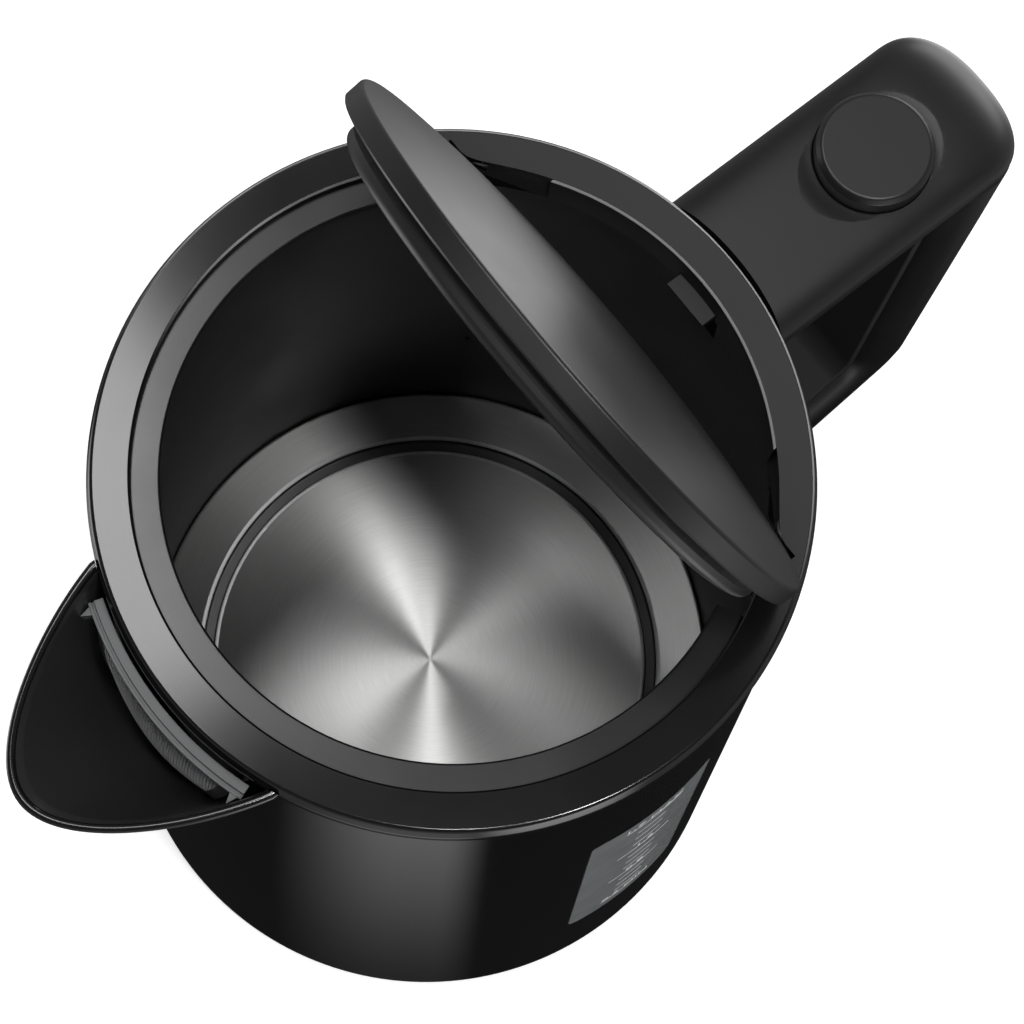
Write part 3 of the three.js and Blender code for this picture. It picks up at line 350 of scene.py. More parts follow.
def arc_strip(name, section, reach, steps=64):
    """A section swept round the spout's side of the rim, to an angle each way."""
    levels = []
    for k in range(steps + 1):
        angle = math.pi - reach + 2 * reach * k / steps
        levels.append([(r * math.cos(angle), r * math.sin(angle), z) for r, z in section])
    return loft(name, levels)


def refine(node, width, skin, slot):
    """A copy of a CAD node with its edges rounded, in its place."""
    mesh = frame["nodes"][node].data.copy()
    piece = new_object(node + "_fine", mesh)
    merge = bmesh.new()
    merge.from_mesh(mesh)
    bmesh.ops.remove_doubles(merge, verts=merge.verts, dist=1e-6)
    bmesh.ops.dissolve_limit(merge, angle_limit=math.radians(1), verts=merge.verts, edges=merge.edges)
    merge.to_mesh(mesh)
    merge.free()
    soften(piece, width)
    finish(piece, skin, slot, node, angle=40)


# ------------------------------------------------------------------ node trees that make wire


def new_group(name, values):
    """A geometry node tree with named inputs, and what each of them gives."""
    tree = bpy.data.node_groups.new(name, "GeometryNodeTree")
    for label, value in values.items():
        kind = "NodeSocketGeometry" if value is None else "NodeSocketFloat"
        socket = tree.interface.new_socket(label, in_out="INPUT", socket_type=kind)
        if value is not None:
            socket.default_value = value
    tree.interface.new_socket("Geometry", in_out="OUTPUT", socket_type="NodeSocketGeometry")
    return tree, add(tree, "NodeGroupInput").outputs


def round_wire(tree, path, radius, sides, material):
    """Ends a node tree with round wire along its paths."""
    section = add(tree, "GeometryNodeCurvePrimitiveCircle", Resolution=sides, Radius=radius)
    wire = add(tree, "GeometryNodeCurveToMesh", Curve=path, Profile_Curve=section.outputs["Curve"],
               Fill_Caps=True)
    real = add(tree, "GeometryNodeRealizeInstances", Geometry=wire.outputs["Mesh"])
    dressed = add(tree, "GeometryNodeSetMaterial", Geometry=real.outputs["Geometry"], Material=material)
    add(tree, "NodeGroupOutput", Geometry=dressed.outputs["Geometry"])


def grow(piece, tree, values):
    """Runs a node tree on a piece, with a value for each named input."""
    step = piece.modifiers.new("grow", "NODES")
    step.node_group = tree
    for label, value in values.items():
        step[tree.interface.items_tree[label].identifier] = value
    settle(piece)


# ------------------------------------------------------------------ shapes shared by the pieces


def cone_radius(z):
    """The body's outer radius at a height below the rim, as a positive radius."""
    sizes = bpy.context.scene.kettle_sizes
    top = sizes.rim_radius - 0.2 * MM
    return top + (sizes.base_radius - top) * -z / sizes.body_height


def body_room(high):
    """What the body takes up below a height, grown by the gap."""
    sizes = bpy.context.scene.kettle_sizes
    low = -sizes.body_height
    at_low, at_high = cone_radius(low) + sizes.gap, cone_radius(high) + sizes.gap
    return lathe("body_room", [(0, low), (at_low, low), (at_high, high), (0, high)], sizes.facets)


def rim_room(gap):
    """What the rim takes up, grown outwards by a gap."""
    sizes = bpy.context.scene.kettle_sizes
    low, high = -sizes.rim_depth - sizes.gap, 5 * MM
    radius = sizes.rim_radius + RIM_FLARE + gap
    return lathe("rim_room", [(0, low), (radius, low), (radius, high), (0, high)], sizes.facets)


def window_cutter(margin):
    """The water window's outline, grown by a margin, right through the wall."""
    sizes = bpy.context.scene.kettle_sizes
    side = sizes.window_half_width + margin
    top = -sizes.window_top + margin
    bottom = -sizes.window_top - sizes.window_height - margin
    corner = 3 * MM + margin
    outline = rounded([
        (-side, bottom, corner), (side, bottom, corner), (side, top, corner), (-side, top, corner),
    ])
    place = DRAWN @ Matrix.Translation((0, -sizes.base_radius, 0))
    return slab("window_cutter", outline, 20 * MM, place=place)


def mouth_half_width(z):
    """Half the width, at a height, of the mouth that opens the wall to the spout."""
    return MOUTH_WIDE - (MOUTH_WIDE - MOUTH_NARROW) * (MOUTH_TOP - z) / (MOUTH_TOP - MOUTH_LOW)


def filter_cutter(margin):
    """The tapered mouth through the wall, which the filter stands in."""
    low, corner = MOUTH_LOW - margin, 4 * MM
    wide, narrow = MOUTH_WIDE + margin, MOUTH_NARROW + margin
    outline = rounded([
        (-narrow, low, corner), (narrow, low, corner), (wide, MOUTH_TOP), (-wide, MOUTH_TOP),
    ])
    turned = Matrix.Translation((-73 * MM, 0, 0)) @ Matrix.Rotation(math.radians(90), 4, "Z")
    return slab("filter_cutter", outline, 26 * MM, place=DRAWN @ turned)


def latch_cutter():
    """The slot for the latch's tongue and, below it, for steam."""
    side = 5.5 * MM
    return block("latch_cutter", (30 * MM, -side, -25 * MM), (75 * MM, side, -6.7 * MM))


# ------------------------------------------------------------------ materials


WHITE = (1, 1, 1, 1)


def linear(code):
    """An sRGB hex code as linear colour."""
    values = [int(code[i:i + 2], 16) / 255 for i in (1, 3, 5)]
    return tuple(v / 12.92 if v <= 0.04045 else ((v + 0.055) / 1.055) ** 2.4 for v in values) + (1,)


def add(tree, kind, settings=None, **inputs):
    """A node with its settings, its input values and its links."""
    node = tree.nodes.new(kind)
    for key, value in (settings or {}).items():
        setattr(node, key, value)
    for key, value in inputs.items():
        socket = node.inputs[int(key[1:])] if key[0] == "_" else node.inputs[key.replace("_", " ")]
        if isinstance(value, bpy.types.NodeSocket):
            tree.links.new(value, socket)
        else:
            socket.default_value = value
    return node


def calculate(tree, operation, *values):
    """A calculation's result."""
    named = {f"_{i}": value for i, value in enumerate(values)}
    return add(tree, "ShaderNodeMath", {"operation": operation}, **named).outputs["Value"]


def ramp(tree, value, start, end, first=0.0, last=1.0, eased=True):
    """A value mapped from one range to another, eased at both ends or straight."""
    kind = {"interpolation_type": "SMOOTHSTEP" if eased else "LINEAR"}
    return add(tree, "ShaderNodeMapRange", kind, Value=value, _1=start, _2=end, _3=first,
               _4=last).outputs["Result"]


def blend(tree, share, first, second):
    """A colour between two colours."""
    return add(tree, "ShaderNodeMix", {"data_type": "RGBA"}, _0=share, _6=first, _7=second).outputs[2]


def darkened(colour_value, share):
    """A linear colour times a share."""
    return tuple(c * share for c in colour_value[:3]) + (1,)


def object_place(tree):
    """The point being shaded, in the object's own metres."""
    return add(tree, "ShaderNodeTexCoord").outputs["Object"]


def new_material(name):
    """An empty node material and its tree."""
    material = bpy.data.materials.new(name)
    material.use_nodes = True
    material.node_tree.nodes.clear()
    return material, material.node_tree


def coat(material, **inputs):
    """Gives a material its one shader."""
    shader = add(material.node_tree, "ShaderNodeBsdfPrincipled", **inputs)
    add(material.node_tree, "ShaderNodeOutputMaterial", Surface=shader.outputs["BSDF"])
    return material


def moulded(name, code, roughness, grain, depth, wear=0.06, painted_highlight_code=None):
    """Injection-moulded plastic: an even colour, a spark-eroded grain and slight handling marks.

    Where it has a highlight colour, it pales to that towards the hinge and the handle: a painted highlight.
    """
    material, tree = new_material(name)
    place = object_place(tree)
    fine = add(tree, "ShaderNodeTexNoise", Vector=place, Scale=1 / grain, Detail=3.0,
               Roughness=0.6).outputs["Fac"]
    broad = add(tree, "ShaderNodeTexNoise", Vector=place, Scale=1 / (22 * MM), Detail=4.0,
                Roughness=0.55).outputs["Fac"]
    base = linear(code)
    lighter = tuple(min(c * 1.22 + 0.0004, 1) for c in base[:3]) + (1,)
    shade = blend(tree, fine, base, lighter)
    # painted highlight: where a highlight colour is given, the colour pales to it towards the hinge and the
    # handle
    if painted_highlight_code:
        toward = add(tree, "ShaderNodeVectorMath", {"operation": "DOT_PRODUCT"}, _0=place,
                     _1=(0.87, 0.5, 0)).outputs["Value"]
        highlight_share = ramp(tree, toward, 0.87 * AXIS_X - 5 * MM, 0.87 * AXIS_X + 32 * MM)
        shade = blend(tree, highlight_share, shade, linear(painted_highlight_code))
    bump = add(tree, "ShaderNodeBump", Height=fine, Strength=0.35, Distance=depth)
    return coat(material, Base_Color=shade, IOR=1.49, Normal=bump.outputs["Normal"],
                Roughness=ramp(tree, broad, 0.3, 0.7, roughness - wear, roughness + wear, False))


def spun_steel(name, code):
    """Stainless steel spun on a lathe: fine rings that spread light into spokes."""
    material, tree = new_material(name)
    centred = add(tree, "ShaderNodeMapping", Vector=object_place(tree), Location=(-AXIS_X, 0, 0))
    split = add(tree, "ShaderNodeSeparateXYZ", Vector=centred.outputs["Vector"])
    flat = add(tree, "ShaderNodeCombineXYZ", X=split.outputs["X"], Y=split.outputs["Y"])
    radius = add(tree, "ShaderNodeVectorMath", {"operation": "LENGTH"},
                 _0=flat.outputs["Vector"]).outputs["Value"]
    angle = calculate(tree, "ARCTAN2", split.outputs["Y"], split.outputs["X"])
    ring = add(tree, "ShaderNodeCombineXYZ", X=radius)
    lines = add(tree, "ShaderNodeTexNoise", Vector=ring.outputs["Vector"], Scale=1 / (0.16 * MM),
                Detail=3.0, Roughness=0.6)
    swirl = add(tree, "ShaderNodeCombineXYZ", X=radius, Y=angle)
    stretched = add(tree, "ShaderNodeMapping", Vector=swirl.outputs["Vector"],
                    Scale=(1 / (0.3 * MM), 2.6, 1))
    streaks = add(tree, "ShaderNodeTexNoise", Vector=stretched.outputs["Vector"], Scale=1.0,
                  Detail=5.0, Roughness=0.65)
    both = calculate(tree, "ADD", lines.outputs["Fac"], streaks.outputs["Fac"])
    base = linear(code)
    bump = add(tree, "ShaderNodeBump", Height=both, Strength=0.06, Distance=0.006 * MM)
    tangent = add(tree, "ShaderNodeTangent", {"direction_type": "RADIAL", "axis": "Z"})
    return coat(material, Metallic=1.0, Anisotropic=0.92, Anisotropic_Rotation=0.25,
                Base_Color=blend(tree, ramp(tree, both, 0.7, 1.3, eased=False), darkened(base, 0.8), base),
                Roughness=ramp(tree, both, 0.6, 1.4, 0.29, 0.36, False),
                Normal=bump.outputs["Normal"], Tangent=tangent.outputs["Tangent"])


def marked(name, code, grain, detail, dark, rough, **inputs):
    """A smooth skin with soft darker marks, of a size, which are also less rough."""
    material, tree = new_material(name)
    marks = add(tree, "ShaderNodeTexNoise", Vector=object_place(tree), Scale=1 / grain,
                Detail=detail).outputs["Fac"]
    base = linear(code)
    return coat(material, Base_Color=blend(tree, marks, darkened(base, dark), base),
                Roughness=ramp(tree, marks, 0.0, 1.0, *rough, False), **inputs)


def drawn_wire(name, code, roughness=0.28, metal=1.0):
    """Drawn, pressed or turned metal, with faint die marks."""
    return marked(name, code, 0.6 * MM, 4.0, 0.8, (roughness - 0.08, roughness + 0.12), Metallic=metal)


def smoke_clear(name, code):
    """Smoke-clear polypropylene: milky, smooth outside, with soft flow marks."""
    return marked(name, code, 9 * MM, 3.0, 0.86, (0.16, 0.26), IOR=1.49, Transmission_Weight=0.3)


def make_materials():
    """Every finish of the kettle, by its plain name."""
    codes = bpy.context.scene.kettle_colours
    # name, colour, roughness, size of the grain and its depth in mm, handling wear, colour of a painted
    # highlight
    for key, name, code, roughness, grain, depth, *wear in (
        # polished tool: a mirror-like skin with the faintest orange peel
        ("gloss", "gloss_black_polypropylene", codes.gloss_black, 0.12, 3.0, 0.004, 0.02),
        # same plastic, drawn from a finely stoned tool, and painted a lighter grey than the body's black as
        # painted light in the beak
        ("beak", "stoned_polypropylene_with_painted_light", codes.beak_colour_with_painted_light, 0.34, 1.2, 0.006, 0.03),
        # spark-eroded tool: fine grain that spreads a highlight
        ("satin", "satin_black_polypropylene", codes.satin_black, 0.38, 0.45, 0.012, 0.03),
        # flat rim face: the same grain, worn smoother by polishing
        ("rim", "semi_gloss_black_polypropylene", codes.rim_black, 0.13, 0.45, 0.002, 0.01),
        ("seat", "fine_grained_black_polypropylene", codes.rim_black, 0.24, 0.45, 0.006, 0.02),
        # the rim's edges, with a painted highlight: pale on the hinge's half, fading to the rim black on
        # the spout's half
        ("rubbed", "rubbed_black_polypropylene", codes.rim_black, 0.16, 0.45, 0.002, 0.01, "#98989A"),
        ("matt", "matt_black_polypropylene", codes.matt_black, 0.62, 0.5, 0.03, 0.02),
        ("print", "screen_printed_ink", codes.print_white, 0.5, 0.4, 0.005),
        ("rubber", "moulded_rubber", codes.rubber, 0.8, 0.6, 0.04),
        ("silicone", "grey_silicone", "#8B8B89", 0.65, 0.6, 0.02),
        ("grey", "grey_nylon", "#5E5F60", 0.5, 0.5, 0.02),
    ):
        MATERIALS[key] = moulded(name, code, roughness, grain * MM, depth * MM, *wear)
    MATERIALS.update({
        "steel": spun_steel("spun_stainless_steel", codes.steel),
        # the same sheet, darker on the groove's floor as painted shade, and white on its folds as a painted
        # highlight
        "groove": drawn_wire("steel_with_painted_groove_shade", "#727272", 0.5),
        "edge": drawn_wire("steel_with_painted_fold_highlight", "#FFFFFF", 0.6, 0.3),
        "wire": drawn_wire("drawn_steel_wire", codes.mesh_steel),
        "mesh_wire": drawn_wire("woven_stainless_wire", "#C8C9CA", 0.5),
        "brass": drawn_wire("turned_brass", "#B8964E", 0.3),
        "aluminium": drawn_wire("cast_aluminium", "#A6A8AA", 0.5),
        "window": smoke_clear("smoke_clear_polypropylene", codes.window),
    })


class KETTLE_OT_finishes(bpy.types.Operator):
    """Make the materials and dress the inner CAD pieces that stay as they are"""

    bl_idname = "kettle.finishes"
    bl_label = "Finishes"

    def execute(self, context):
        make_materials()
        skins = {
            "window_seal": "silicone", "plate_gasket": "silicone", "heat_spreader": "aluminium",
            "heating_element": "aluminium", "control_unit": "matt", "contact_pin": "brass",
            "latch_slider": "matt", "lid_pin_left": "wire", "lid_pin_right": "wire",
            "switch_lever": "satin", "switch_cup": "grey", "bimetal_disc": "brass",
            "lid_seal": "rubber",
        }
        for node, skin in skins.items():
            mesh = frame["nodes"][node].data
            mesh.materials.clear()
            mesh.materials.append(MATERIALS[skin])
        return {"FINISHED"}


# ------------------------------------------------------------------ body


class KETTLE_OT_body(bpy.types.Operator):
    """Make the outer body's tapered shell, with its openings"""

    bl_idname = "kettle.body"
    bl_label = "Outer body"

    def execute(self, context):
        sizes = context.scene.kettle_sizes
        low, high = -sizes.body_height, -sizes.rim_depth - sizes.gap
        outer = [(cone_radius(low), low), (cone_radius(high), high)]
        shell = lathe("outer_body_shell", rounded([
            (outer[0][0] - sizes.wall, low, 0.5 * MM),
            (*outer[0], 1.0 * MM),
            (*outer[1], 0.4 * MM),
            (outer[1][0] - sizes.wall, high, 0.4 * MM),
        ]), sizes.facets)
        carve(shell, window_cutter(sizes.gap), filter_cutter(sizes.gap), latch_cutter())
        finish(shell, "gloss", "gloss_black", "outer_body")
        return {"FINISHED"}


class KETTLE_OT_pot(bpy.types.Operator):
    """Make the inner pot that holds the water"""

    bl_idname = "kettle.pot"
    bl_label = "Inner pot"

    def execute(self, context):
        sizes = context.scene.kettle_sizes
        top = -sizes.rim_depth - sizes.gap
        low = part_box("inner_pot")[0][2] - RIM_Z
        inset = sizes.wall + sizes.wall_gap
        # the shelf that the heater plate rests on
        shelf_height, shelf_width = 4.6 * MM, 5.3 * MM
        shelf_top = low + shelf_height
        shelf = cone_radius(shelf_top) - inset - sizes.wall - shelf_width
        pot = lathe("inner_pot_wall", rounded([
            (shelf, low, 0.4 * MM),
            (cone_radius(low) - inset, low, 0.6 * MM),
            (cone_radius(top) - inset, top, 0.3 * MM),
            (cone_radius(top) - inset - sizes.wall, top, 0.3 * MM),
            (cone_radius(shelf_top) - inset - sizes.wall, shelf_top, 0.5 * MM),
            (shelf, shelf_top, 0.4 * MM),
        ]), sizes.facets)
        carve(pot, self.mould_line(inset + sizes.wall), operation="UNION")
        carve(pot, window_cutter(-1.6 * MM), filter_cutter(sizes.gap), latch_cutter())
        finish(pot, "matt", "matt_black", "inner_pot")
        return {"FINISHED"}

    def mould_line(self, inset):
        """The upright seam that the mould leaves inside the pot."""
        deep, half = 0.6 * MM, 0.3 * MM
        levels = []
        for z in (-181 * MM, -128 * MM):
            radius = cone_radius(z) - inset
            levels.append([(radius - deep, -half, z), (radius + deep, -half, z), (radius + deep, half, z),
                           (radius - deep, half, z)])
        return loft("mould_line", levels, DRAWN @ Matrix.Rotation(math.radians(45.4), 4, "Z"))


class KETTLE_OT_rim(bpy.types.Operator):
    """Make the moulded rim with the ledge that the lid rests on"""

    bl_idname = "kettle.rim"
    bl_label = "Rim"

    def execute(self, context):
        sizes = context.scene.kettle_sizes
        lid = context.scene.lid_sizes
        inner = sizes.rim_radius - sizes.rim_width
        outer = sizes.rim_radius + RIM_FLARE
        band = lathe("rim_moulding", rounded([
            (inner, -10 * MM, 0.3 * MM),
            (inner + 1 * MM, -10 * MM, 0.3 * MM),
            (inner + 1 * MM, -sizes.rim_depth, 0),
            (outer - 0.2 * MM, -sizes.rim_depth, 0.5 * MM),
            (outer, -2.6 * MM, 3 * MM),
            (sizes.rim_radius + 0.1 * MM, 0, 0.9 * MM),
            (inner + 0.4 * MM, 0, 0.2 * MM),
            (inner, -0.4 * MM, 0.3 * MM),
        ]), sizes.facets)
        carve(band, self.ledge(lid, inner), operation="UNION")
        carve(band, latch_cutter(), self.hinge_relief(lid, inner - lid.clearance))
        finish(band, "rim", "satin_black", "rim_ring")

        def side(away, height, normal):
            """1 for the inner wall, 2 for the seat, 3 for the top's two edges, which carry a painted
            highlight.
            """
            inner_edge = away < inner + 0.5 * MM and normal.z < 0.9
            outer_edge = away > sizes.rim_radius - 0.9 * MM and 0.8 < normal.z < 0.97
            if normal.z < 0.3 and away < inner + 1.5 * MM:
                return 1
            if height > -0.7 * MM and (inner_edge or outer_edge):
                return 3
            return 2 if away < inner and height < -1 * MM else 0

        # the rim's two top edges take the painted highlight
        dress(band, side, "matt", "seat", "rubbed")
        return {"FINISHED"}

    def ledge(self, lid, inner):
        """The seat on the spout's side, ending short of the hinge on both sides."""
        near, far = inner - lid.ledge_width, inner + 0.5 * MM
        top, low = -lid.ledge_drop, -lid.ledge_drop - 2.5 * MM
        section = rounded([(near, low, 0.3 * MM), (far, low), (far, top), (near, top, 0.5 * MM)], 3)
        return arc_strip("ledge", section, math.radians(115), 96)

    def hinge_relief(self, lid, cap_radius):
        """Room for the lid's edge as it turns down beside each hinge pin."""
        band_top = lid.band - lid.ledge_drop + 0.3 * MM
        start, end, steps = 33 * MM, 51 * MM, 12
        spindle = [(0.0, start)]
        for k in range(steps + 1):
            y = start + (end - start) * k / steps
            chord = max(math.sqrt(cap_radius ** 2 - y ** 2) - lid.hinge_x, 0)
            spindle.append((math.hypot(chord, band_top + lid.hinge_drop) + 0.6 * MM, y))
        spindle.append((0.0, end))
        left, right = (lathe(f"relief_{sign}", spindle, 48, on_hinge(lid, DRAWN, sign)) for sign in (1, -1))
        carve(left, right, operation="UNION")
        return left


def on_hinge(lid, place, sign):
    """A place whose +Z runs out from the middle along the hinge, to one side."""
    return (place @ Matrix.Translation((lid.hinge_x, 0, -lid.hinge_drop))
            @ Matrix.Rotation(math.radians(-90 * sign), 4, "X"))


class KETTLE_OT_window(bpy.types.Operator):
    """Make the water window and its printed scale"""

    bl_idname = "kettle.window"
    bl_label = "Water window"

    def execute(self, context):
        sizes = context.scene.kettle_sizes
        thick = sizes.wall + sizes.gap
        low, high = -sizes.body_height, -sizes.rim_depth
        pane = lathe("window_pane", [
            (cone_radius(low) - thick, low), (cone_radius(low), low),
            (cone_radius(high), high), (cone_radius(high) - thick, high),
        ], sizes.facets)
        carve(pane, window_cutter(0.0), operation="INTERSECT")
        soften(pane, 0.5 * MM)
        finish(pane, "window", "clear", "water_window")
        self.scale(sizes)
        return {"FINISHED"}

    def scale(self, sizes):
        """Level lines and figures, laid on the window's face."""
        figures = {0: "0.5 MIN", 4: "0.8", 8: "1.2", 12: "1.7 MAX"}
        margin, steps = 8 * MM, 12
        levels = [-sizes.window_top - sizes.window_height + margin
                  + (sizes.window_height - 2 * margin) * k / steps for k in range(steps + 1)]
        marks = [self.bar((7.0 if k in figures else 3.6) * MM, z) for k, z in enumerate(levels)]
        marks += [self.figure(text, levels[k] + 1.0 * MM) for k, text in figures.items()]
        with bpy.context.temp_override(active_object=marks[0], selected_editable_objects=marks):
            bpy.ops.object.join()
        piece = marks[0]
        piece.name = "window_scale"
        finish(piece, "print", "silicone")

    def on_face(self, x, z):
        """The point of the window's outer face behind (x, z) in side view, just proud of it."""
        radius = cone_radius(z) + 0.03 * MM
        return (x, -math.sqrt(radius ** 2 - x ** 2), z)

    def bar(self, half, z, height=0.32 * MM, thick=0.06 * MM, steps=8):
        """A printed level line."""
        corners = []
        for k in range(steps + 1):
            for level in (z, z + height):
                x, y, _ = self.on_face(half * (2 * k / steps - 1), level)
                corners += [(x, y, level), (x, y + thick, level)]
        faces = [(0, 2, 3, 1), tuple(4 * steps + k for k in (0, 1, 3, 2))]
        for a in range(0, 4 * steps, 4):
            b = a + 4
            faces += [(a, b, b + 2, a + 2), (a + 1, a + 3, b + 3, b + 1), (a, a + 1, b + 1, b),
                      (a + 2, b + 2, b + 3, a + 3)]
        return make_object("level_line", corners, faces)

    def figure(self, text, z):
        """A printed figure over its level line."""
        thick = 0.03 * MM
        curve = bpy.data.curves.new("figure", "FONT")
        curve.body = text
        curve.size = 4.2 * MM
        curve.align_x = "CENTER"
        curve.extrude = thick
        mesh = mesh_of(curve)
        corners = []
        for vertex in mesh.vertices:
            x, y, level = self.on_face(vertex.co.x, z + vertex.co.y)
            corners.append((x, y - vertex.co.z + thick, level))
        return make_object("figure", corners, [tuple(p.vertices) for p in mesh.polygons])


# ------------------------------------------------------------------ spout and filter


class KETTLE_OT_spout(bpy.types.Operator):
    """Make the beak of the spout with its beaded lip"""

    bl_idname = "kettle.spout"
    bl_label = "Spout"

    def execute(self, context):
        sizes = context.scene.kettle_sizes
        lip = -1.5 * MM
        wall = 1.7 * MM
        bead = 0.3 * MM
        # shares of the height, closer together towards the lip
        steps = [(k / 40) ** 1.35 for k in range(41)]
        levels = [self.outline(sizes, lip, 1 - t, bead) for t in steps if 1 - t > 0.035]
        # the bead: a round roll from the outer wall, over the lip and into the beak
        roll = 0.95 * MM
        for k in range(13):
            angle = math.pi * k / 12
            inset = roll - roll * math.cos(angle)
            rise = lip - roll + roll * math.sin(angle)
            levels.append(self.outline(sizes, lip, 0.0, inset, rise))
        levels += [self.outline(sizes, lip, t, wall + bead) for t in steps if 0.03 < t < 0.94]
        beak = loft("spout_beak", levels)
        carve(beak, rim_room(0.06 * MM), body_room(-6 * MM))
        finish(beak, "beak", "gloss_black", "spout", angle=50)
        dress(beak, lambda away, height, normal: int(height > lip - roll), "rim")
        return {"FINISHED"}

    def outline(self, sizes, lip, fraction, inset, rise=None):
        """The beak's outline at a fraction of its height below the lip, drawn in by an inset."""
        depth = fraction * sizes.spout_height
        z = lip - depth if rise is None else rise
        left = max(1 - fraction, 0.0)
        wall_radius = cone_radius(lip - depth)
        root = 62.7 * MM
        reach = wall_radius + (sizes.spout_reach - wall_radius) * left ** 1.25 - inset
        share = sizes.spout_foot + (1 - sizes.spout_foot) * left ** 0.9
        half = sizes.spout_half_width * share - inset
        length = reach - root
        # one side as a curve with four guide points, from the tip to the root
        points = [(-reach, 0.0), (-reach, 0.42 * half), (-root - 0.41 * length, 0.86 * half), (-root, half)]
        side = []
        for k in range(33):
            t = k / 32
            weights = ((1 - t) ** 3, 3 * t * (1 - t) ** 2, 3 * t * t * (1 - t), t ** 3)
            side.append(tuple(sum(w * p[i] for w, p in zip(weights, points)) for i in (0, 1)))
        side.append((-root + 14 * MM, half))
        outline = [(x, y, z) for x, y in reversed(side[1:])]
        return outline + [(x, -y, z) for x, y in side]


class KETTLE_OT_filter(bpy.types.Operator):
    """Make the filter's frame and its woven mesh"""

    bl_idname = "kettle.filter"
    bl_label = "Filter"

    def execute(self, context):
        flange = self.flange()
        corners = ((-66.6, 22.4), (-67.2, 20.4), (-69.6, 21.9))
        hooks = [loft(f"hook_{side}", [
            [(x * MM, side * y * MM, z * MM) for x, y in corners] for z in (-11.6, -8.6)
        ]) for side in (1, -1)]
        carve(flange, self.wall(), *hooks, operation="UNION")
        finish(flange, "grey", "grey_plastic", "filter_frame")
        self.mesh()
        return {"FINISHED"}

    def flange(self):
        """The strip under the mouth's edge: a flat, a groove and a lower lip."""
        section = rounded([[value * MM for value in corner] for corner in (
            (67.9, -9.4), (70.9, -9.4, 0.15), (70.9, -8.5, 0.15), (70.25, -8.5, 0.1),
            (70.2, -9.1), (69.85, -9.1), (69.8, -8.0, 0.15), (67.9, -8.0, 0.15),
        )], 3)
        return arc_strip("filter_flange", section, math.asin(23 / 71))

    def wall(self):
        """The curved frame round the mesh: a sheet with a window in it, made thick."""
        thick = 1.1 * MM
        rows = [-8.6, -9.3, -10.1] + [-10.1 - 39.3 * k / 24 for k in range(1, 25)] + [-50.2, -51.1, -52]
        sheet = bmesh.new()
        grid = []
        for z in rows:
            half = mouth_half_width(z * MM) - max(-49.4 - z, 0) * 1.2 * MM
            inner = half - 2 * thick
            ys = [-half, -inner - thick] + [inner * (k / 8 - 1) for k in range(17)] + [inner + thick, half]
            grid.append([sheet.verts.new(self.surface(y, z * MM, 68.3 * MM)) for y in ys])
        for i in range(len(rows) - 1):
            for j in range(len(grid[0]) - 1):
                if i < 2 or i >= len(rows) - 4 or j < 2 or j >= len(grid[0]) - 3:
                    sheet.faces.new((grid[i][j], grid[i + 1][j], grid[i + 1][j + 1], grid[i][j + 1]))
        bmesh.ops.delete(sheet, geom=[v for v in sheet.verts if not v.link_faces], context="VERTS")
        bmesh.ops.solidify(sheet, geom=sheet.faces[:], thickness=thick)
        bmesh.ops.recalc_face_normals(sheet, faces=sheet.faces)
        data = bpy.data.meshes.new("filter_wall")
        sheet.to_mesh(data)
        sheet.free()
        return new_object("filter_wall", data)

    def surface(self, y, z, base):
        """A point on the wall that swells into the spout and leans back at its foot."""
        fraction = min(max((-z - 8 * MM) / (44 * MM), 0), 1)
        out = 3.6 * MM * math.sin(math.pi * min(fraction ** 1.3, 1)) ** 0.8
        middle = max(1 - 0.9 * (y / (14 * MM)) ** 2, 0) * fraction ** 2 + 1 - fraction ** 2
        radius = base + out * middle - 2.4 * MM * fraction ** 3
        return DRAWN @ Vector((-math.sqrt(radius ** 2 - y ** 2), y, z))

    def mesh(self):
        """Upright and level wires, made by one node tree along two sets of guides."""
        pitch, hem, radius = 0.7 * MM, 1.6 * MM, 69.1 * MM
        top, low = -9.3 * MM, -50.4 * MM
        corners, edges = [], []

        def guide(points):
            start = len(corners)
            corners.extend(self.surface(y, z, radius) for y, z in points)
            edges.extend((j, j + 1) for j in range(start, len(corners) - 1))

        widest = mouth_half_width(top) - hem
        heights = [top + (low - top) * k / 26 for k in range(27)]
        for i in range(int(2 * widest / pitch) + 1):
            y = i * pitch - widest
            guide([(y, z) for z in heights if abs(y) <= mouth_half_width(z) - hem])
        for i in range(int((top - low) / (2 * pitch))):
            z = top - (i + 0.5) * 2 * pitch
            half = mouth_half_width(z) - hem
            guide([(half * (k / 9 - 1), z) for k in range(19)])
        guides = bpy.data.meshes.new("filter_guides")
        guides.from_pydata(corners, edges, [])
        piece = new_object("filter_weave", guides)
        tree, given = new_group("filter_wires", {"Geometry": None, "Wire radius": 0.2 * MM})
        paths = add(tree, "GeometryNodeMeshToCurve", Mesh=given["Geometry"])
        round_wire(tree, paths.outputs["Curve"], given["Wire radius"], 5, MATERIALS["mesh_wire"])
        grow(piece, tree, {"Wire radius": 0.12 * MM})
        finish(piece, "mesh_wire", "steel", "filter_mesh", angle=60)


# ------------------------------------------------------------------ heater plate and base


